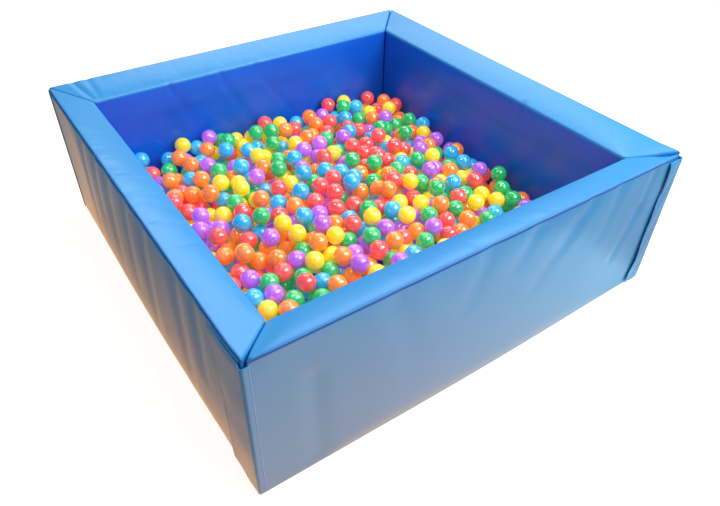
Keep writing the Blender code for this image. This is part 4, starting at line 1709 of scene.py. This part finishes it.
@dataclass(frozen=True)
class Studio:
    """The floor, the sky and the lamps."""

    floor_size: float = 30.0
    ambient: float = 0.54
    lean: float = 0.50                             # how much brighter the sky is towards +X than overhead
    mirrored: float = 0.18                         # the sky as glossy things show it
    lamps: Sequence[Lamp] = (
        Lamp("back_softbox", 58.0, 44.0, 4.2, (3.6, 2.4), 7.5),
        Lamp("front_softbox", -62.0, 50.0, 4.5, (3.6, 2.4), 14.4),
        Lamp("right_fill", -46.0, 34.0, 2.6, (1.2, 1.0), 18.0, (0.80, 1.0, 0.96)),
    )
    spots: tuple[int, int] = (4, 2)                # the small round lamps, along X and Y
    spot_height: float = 3.2
    spot_spacing: float = 0.95
    spot_size: float = 0.22
    spot_level: float = 110.0                      # watts for a square metre

    def build(self) -> None:
        """Set the stage."""
        bm = bmesh.new()
        bmesh.ops.create_grid(bm, x_segments=8, y_segments=8, size=self.floor_size)
        floor = new_object("floor", bm, PaleFloor("pale_floor").build())
        for lamp in self.lamps:
            lamp.build()
        self.hang_spots()
        world = bpy.data.worlds.new("studio")
        bpy.context.scene.world = world
        world.use_nodes = True
        g = Graph(world.node_tree)
        direct, glossy = g.rays()
        towards = g.node("ShaderNodeTexCoord", output="Generated")
        right = g.node("ShaderNodeSeparateXYZ", inputs={0: towards}, output="X")
        sky = self.ambient * (1.0 + self.lean * right)
        level = g.math("MAXIMUM", direct, sky - (self.ambient - self.mirrored) * glossy)
        sky = g.node("ShaderNodeBackground", inputs={"Color": (1.0, 1.0, 1.0, 1.0), "Strength": level})
        g.node("ShaderNodeOutputWorld", inputs={"Surface": sky})
        bpy.context.scene.view_settings.view_transform = "Standard"

    def hang_spots(self) -> None:
        """Hang the small round lamps over the pit, which the balls mirror."""
        across, along = self.spots
        for column in range(across):
            for row in range(along):
                light = bpy.data.lights.new(f"spot_{column}_{row}", "AREA")
                light.shape = "DISK"
                light.size = self.spot_size
                light.energy = self.spot_level * self.spot_size**2
                stand = bpy.data.objects.new(light.name, light)
                stand.location = (
                    (column - (across - 1) / 2) * self.spot_spacing,
                    (row - (along - 1) / 2) * self.spot_spacing,
                    self.spot_height,
                )
                bpy.context.scene.collection.objects.link(stand)


# Each wall's flap: heights, and how far its free edge lies from the outer corner there
FRONT_FLAP_EDGE = (
    (0.0, 0.160), (0.186, 0.168), (0.250, 0.170), (0.312, 0.172), (0.353, 0.180), (0.393, 0.192),
    (0.472, 0.195), (0.507, 0.191), (0.594, 0.198),
)
RIGHT_FLAP_EDGE = (
    (0.0, 0.086), (0.065, 0.081), (0.129, 0.069), (0.238, 0.074), (0.438, 0.071), (0.468, 0.062),
    (0.518, 0.066), (0.594, 0.074),
)
INNER_FACE = FRONT + THICKNESS
RIM = HEIGHT - RIM_FALL


def walls() -> list[PaddedWall]:
    """Choose the four walls, each with the folds that its side shows.

    Returns:
        The walls, from the front one round to the left one.
    """
    front = PaddedWall(
        Side.FRONT, 0.180, FRONT_FLAP_EDGE, SeamPlace.TOP_FACE,
        folds=(
            Fold((0.405, FRONT, 0.585), (0.290, FRONT, 0.440), 0.030, -0.0075),
            Fold((0.330, FRONT, 0.540), (0.180, FRONT, 0.330), 0.040, -0.0060),
            Fold((0.715, FRONT, 0.430), (0.640, FRONT, 0.230), 0.028, -0.0075, 0.4),
            Fold((0.145, FRONT, 0.585), (0.060, FRONT, 0.470), 0.034, -0.0060),
            Fold((0.745, FRONT, 0.580), (0.715, FRONT, 0.380), 0.022, -0.0055),
            Fold((0.560, FRONT, 0.590), (0.500, FRONT, 0.400), 0.034, -0.0060),
            Fold((-0.060, FRONT, 0.590), (-0.150, FRONT, 0.400), 0.040, -0.0050),
            Fold((-0.420, FRONT, 0.560), (-0.330, FRONT, 0.250), 0.050, -0.0045),
            Fold((-0.700, FRONT, 0.420), (-0.690, FRONT, 0.060), 0.040, -0.0050, 0.2),
        ),
        dents=(
            Dent((-0.895, FRONT, 0.612), 0.05, (0.010, 0.004, -0.004)),
            Dent((0.895, FRONT, 0.612), 0.05, (-0.008, 0.004, -0.003)),
            Dent((0.855, FRONT + 0.045, 0.600), 0.04, (-0.001, -0.001, -0.005)),
        ),
    )
    right = PaddedWall(
        Side.RIGHT, 0.075, RIGHT_FLAP_EDGE, SeamPlace.OUTER_FACE,
        folds=(Fold((-0.237, INNER_FACE, RIM + 0.01), (-0.250, INNER_FACE, RIM - 0.10), 0.014, -0.006),),
        dents=(
            Dent((-0.895, FRONT, 0.612), 0.05, (0.004, 0.004, 0.006)),
            Dent((-0.855, FRONT + 0.045, 0.600), 0.04, (0.001, 0.0, 0.004)),
        ),
    )
    back = PaddedWall(
        Side.BACK, 0.180, FRONT_FLAP_EDGE, SeamPlace.OUTER_FACE,
        folds=(
            Fold((0.429, INNER_FACE, RIM + 0.005), (0.426, INNER_FACE, 0.525), 0.012, -0.007, 0.3),
            Fold((0.426, INNER_FACE, 0.525), (0.273, INNER_FACE, 0.225), 0.024, -0.0045),
            Fold((0.186, INNER_FACE, RIM + 0.005), (0.181, INNER_FACE, 0.520), 0.012, -0.007, 0.3),
            Fold((0.181, INNER_FACE, 0.520), (0.076, INNER_FACE, 0.304), 0.024, -0.0045),
            Fold((0.006, INNER_FACE, RIM + 0.005), (-0.002, INNER_FACE, 0.525), 0.012, -0.007, 0.3),
            Fold((-0.002, INNER_FACE, 0.525), (-0.176, INNER_FACE, 0.260), 0.024, -0.0045),
            Fold((0.803, FRONT, 0.61), (0.753, FRONT + 0.14, 0.575), 0.012, -0.004, 0.0),
            Fold((0.740, FRONT, 0.61), (0.731, FRONT + 0.14, 0.575), 0.012, -0.003, 0.0),
        ),
    )
    left = PaddedWall(
        Side.LEFT, 0.075, RIGHT_FLAP_EDGE, SeamPlace.OUTER_FACE,
        folds=(
            Fold((-0.45, FRONT, 0.560), (-0.52, FRONT, 0.10), 0.040, -0.007),
            Fold((-0.28, FRONT, 0.580), (-0.33, FRONT, 0.30), 0.030, -0.006),
            Fold((-0.15, FRONT, 0.570), (-0.20, FRONT, 0.12), 0.045, -0.007),
            Fold((0.04, FRONT, 0.580), (0.00, FRONT, 0.20), 0.034, -0.006),
            Fold((0.20, FRONT, 0.570), (0.16, FRONT, 0.10), 0.040, -0.007),
            Fold((0.46, FRONT, 0.570), (0.45, FRONT, 0.08), 0.040, -0.007),
            Fold((0.60, FRONT, 0.580), (0.59, FRONT, 0.25), 0.032, -0.006),
        ),
        dents=(Dent((0.895, FRONT, 0.612), 0.05, (-0.008, 0.004, 0.0)),),
    )
    return [front, right, back, left]


def main() -> None:
    """Build the pit and its stage."""
    logging.basicConfig(level=logging.INFO, format="%(message)s")
    PhotoCamera().build()
    for wall in walls():
        wall.build()
        log.info("%s is built", wall.side.wall)
    FloorMat().build()
    log.info("the floor mat is built")
    Balls().build()
    log.info("the balls are built")
    Studio().build()


if __name__ == "__main__":
    main()
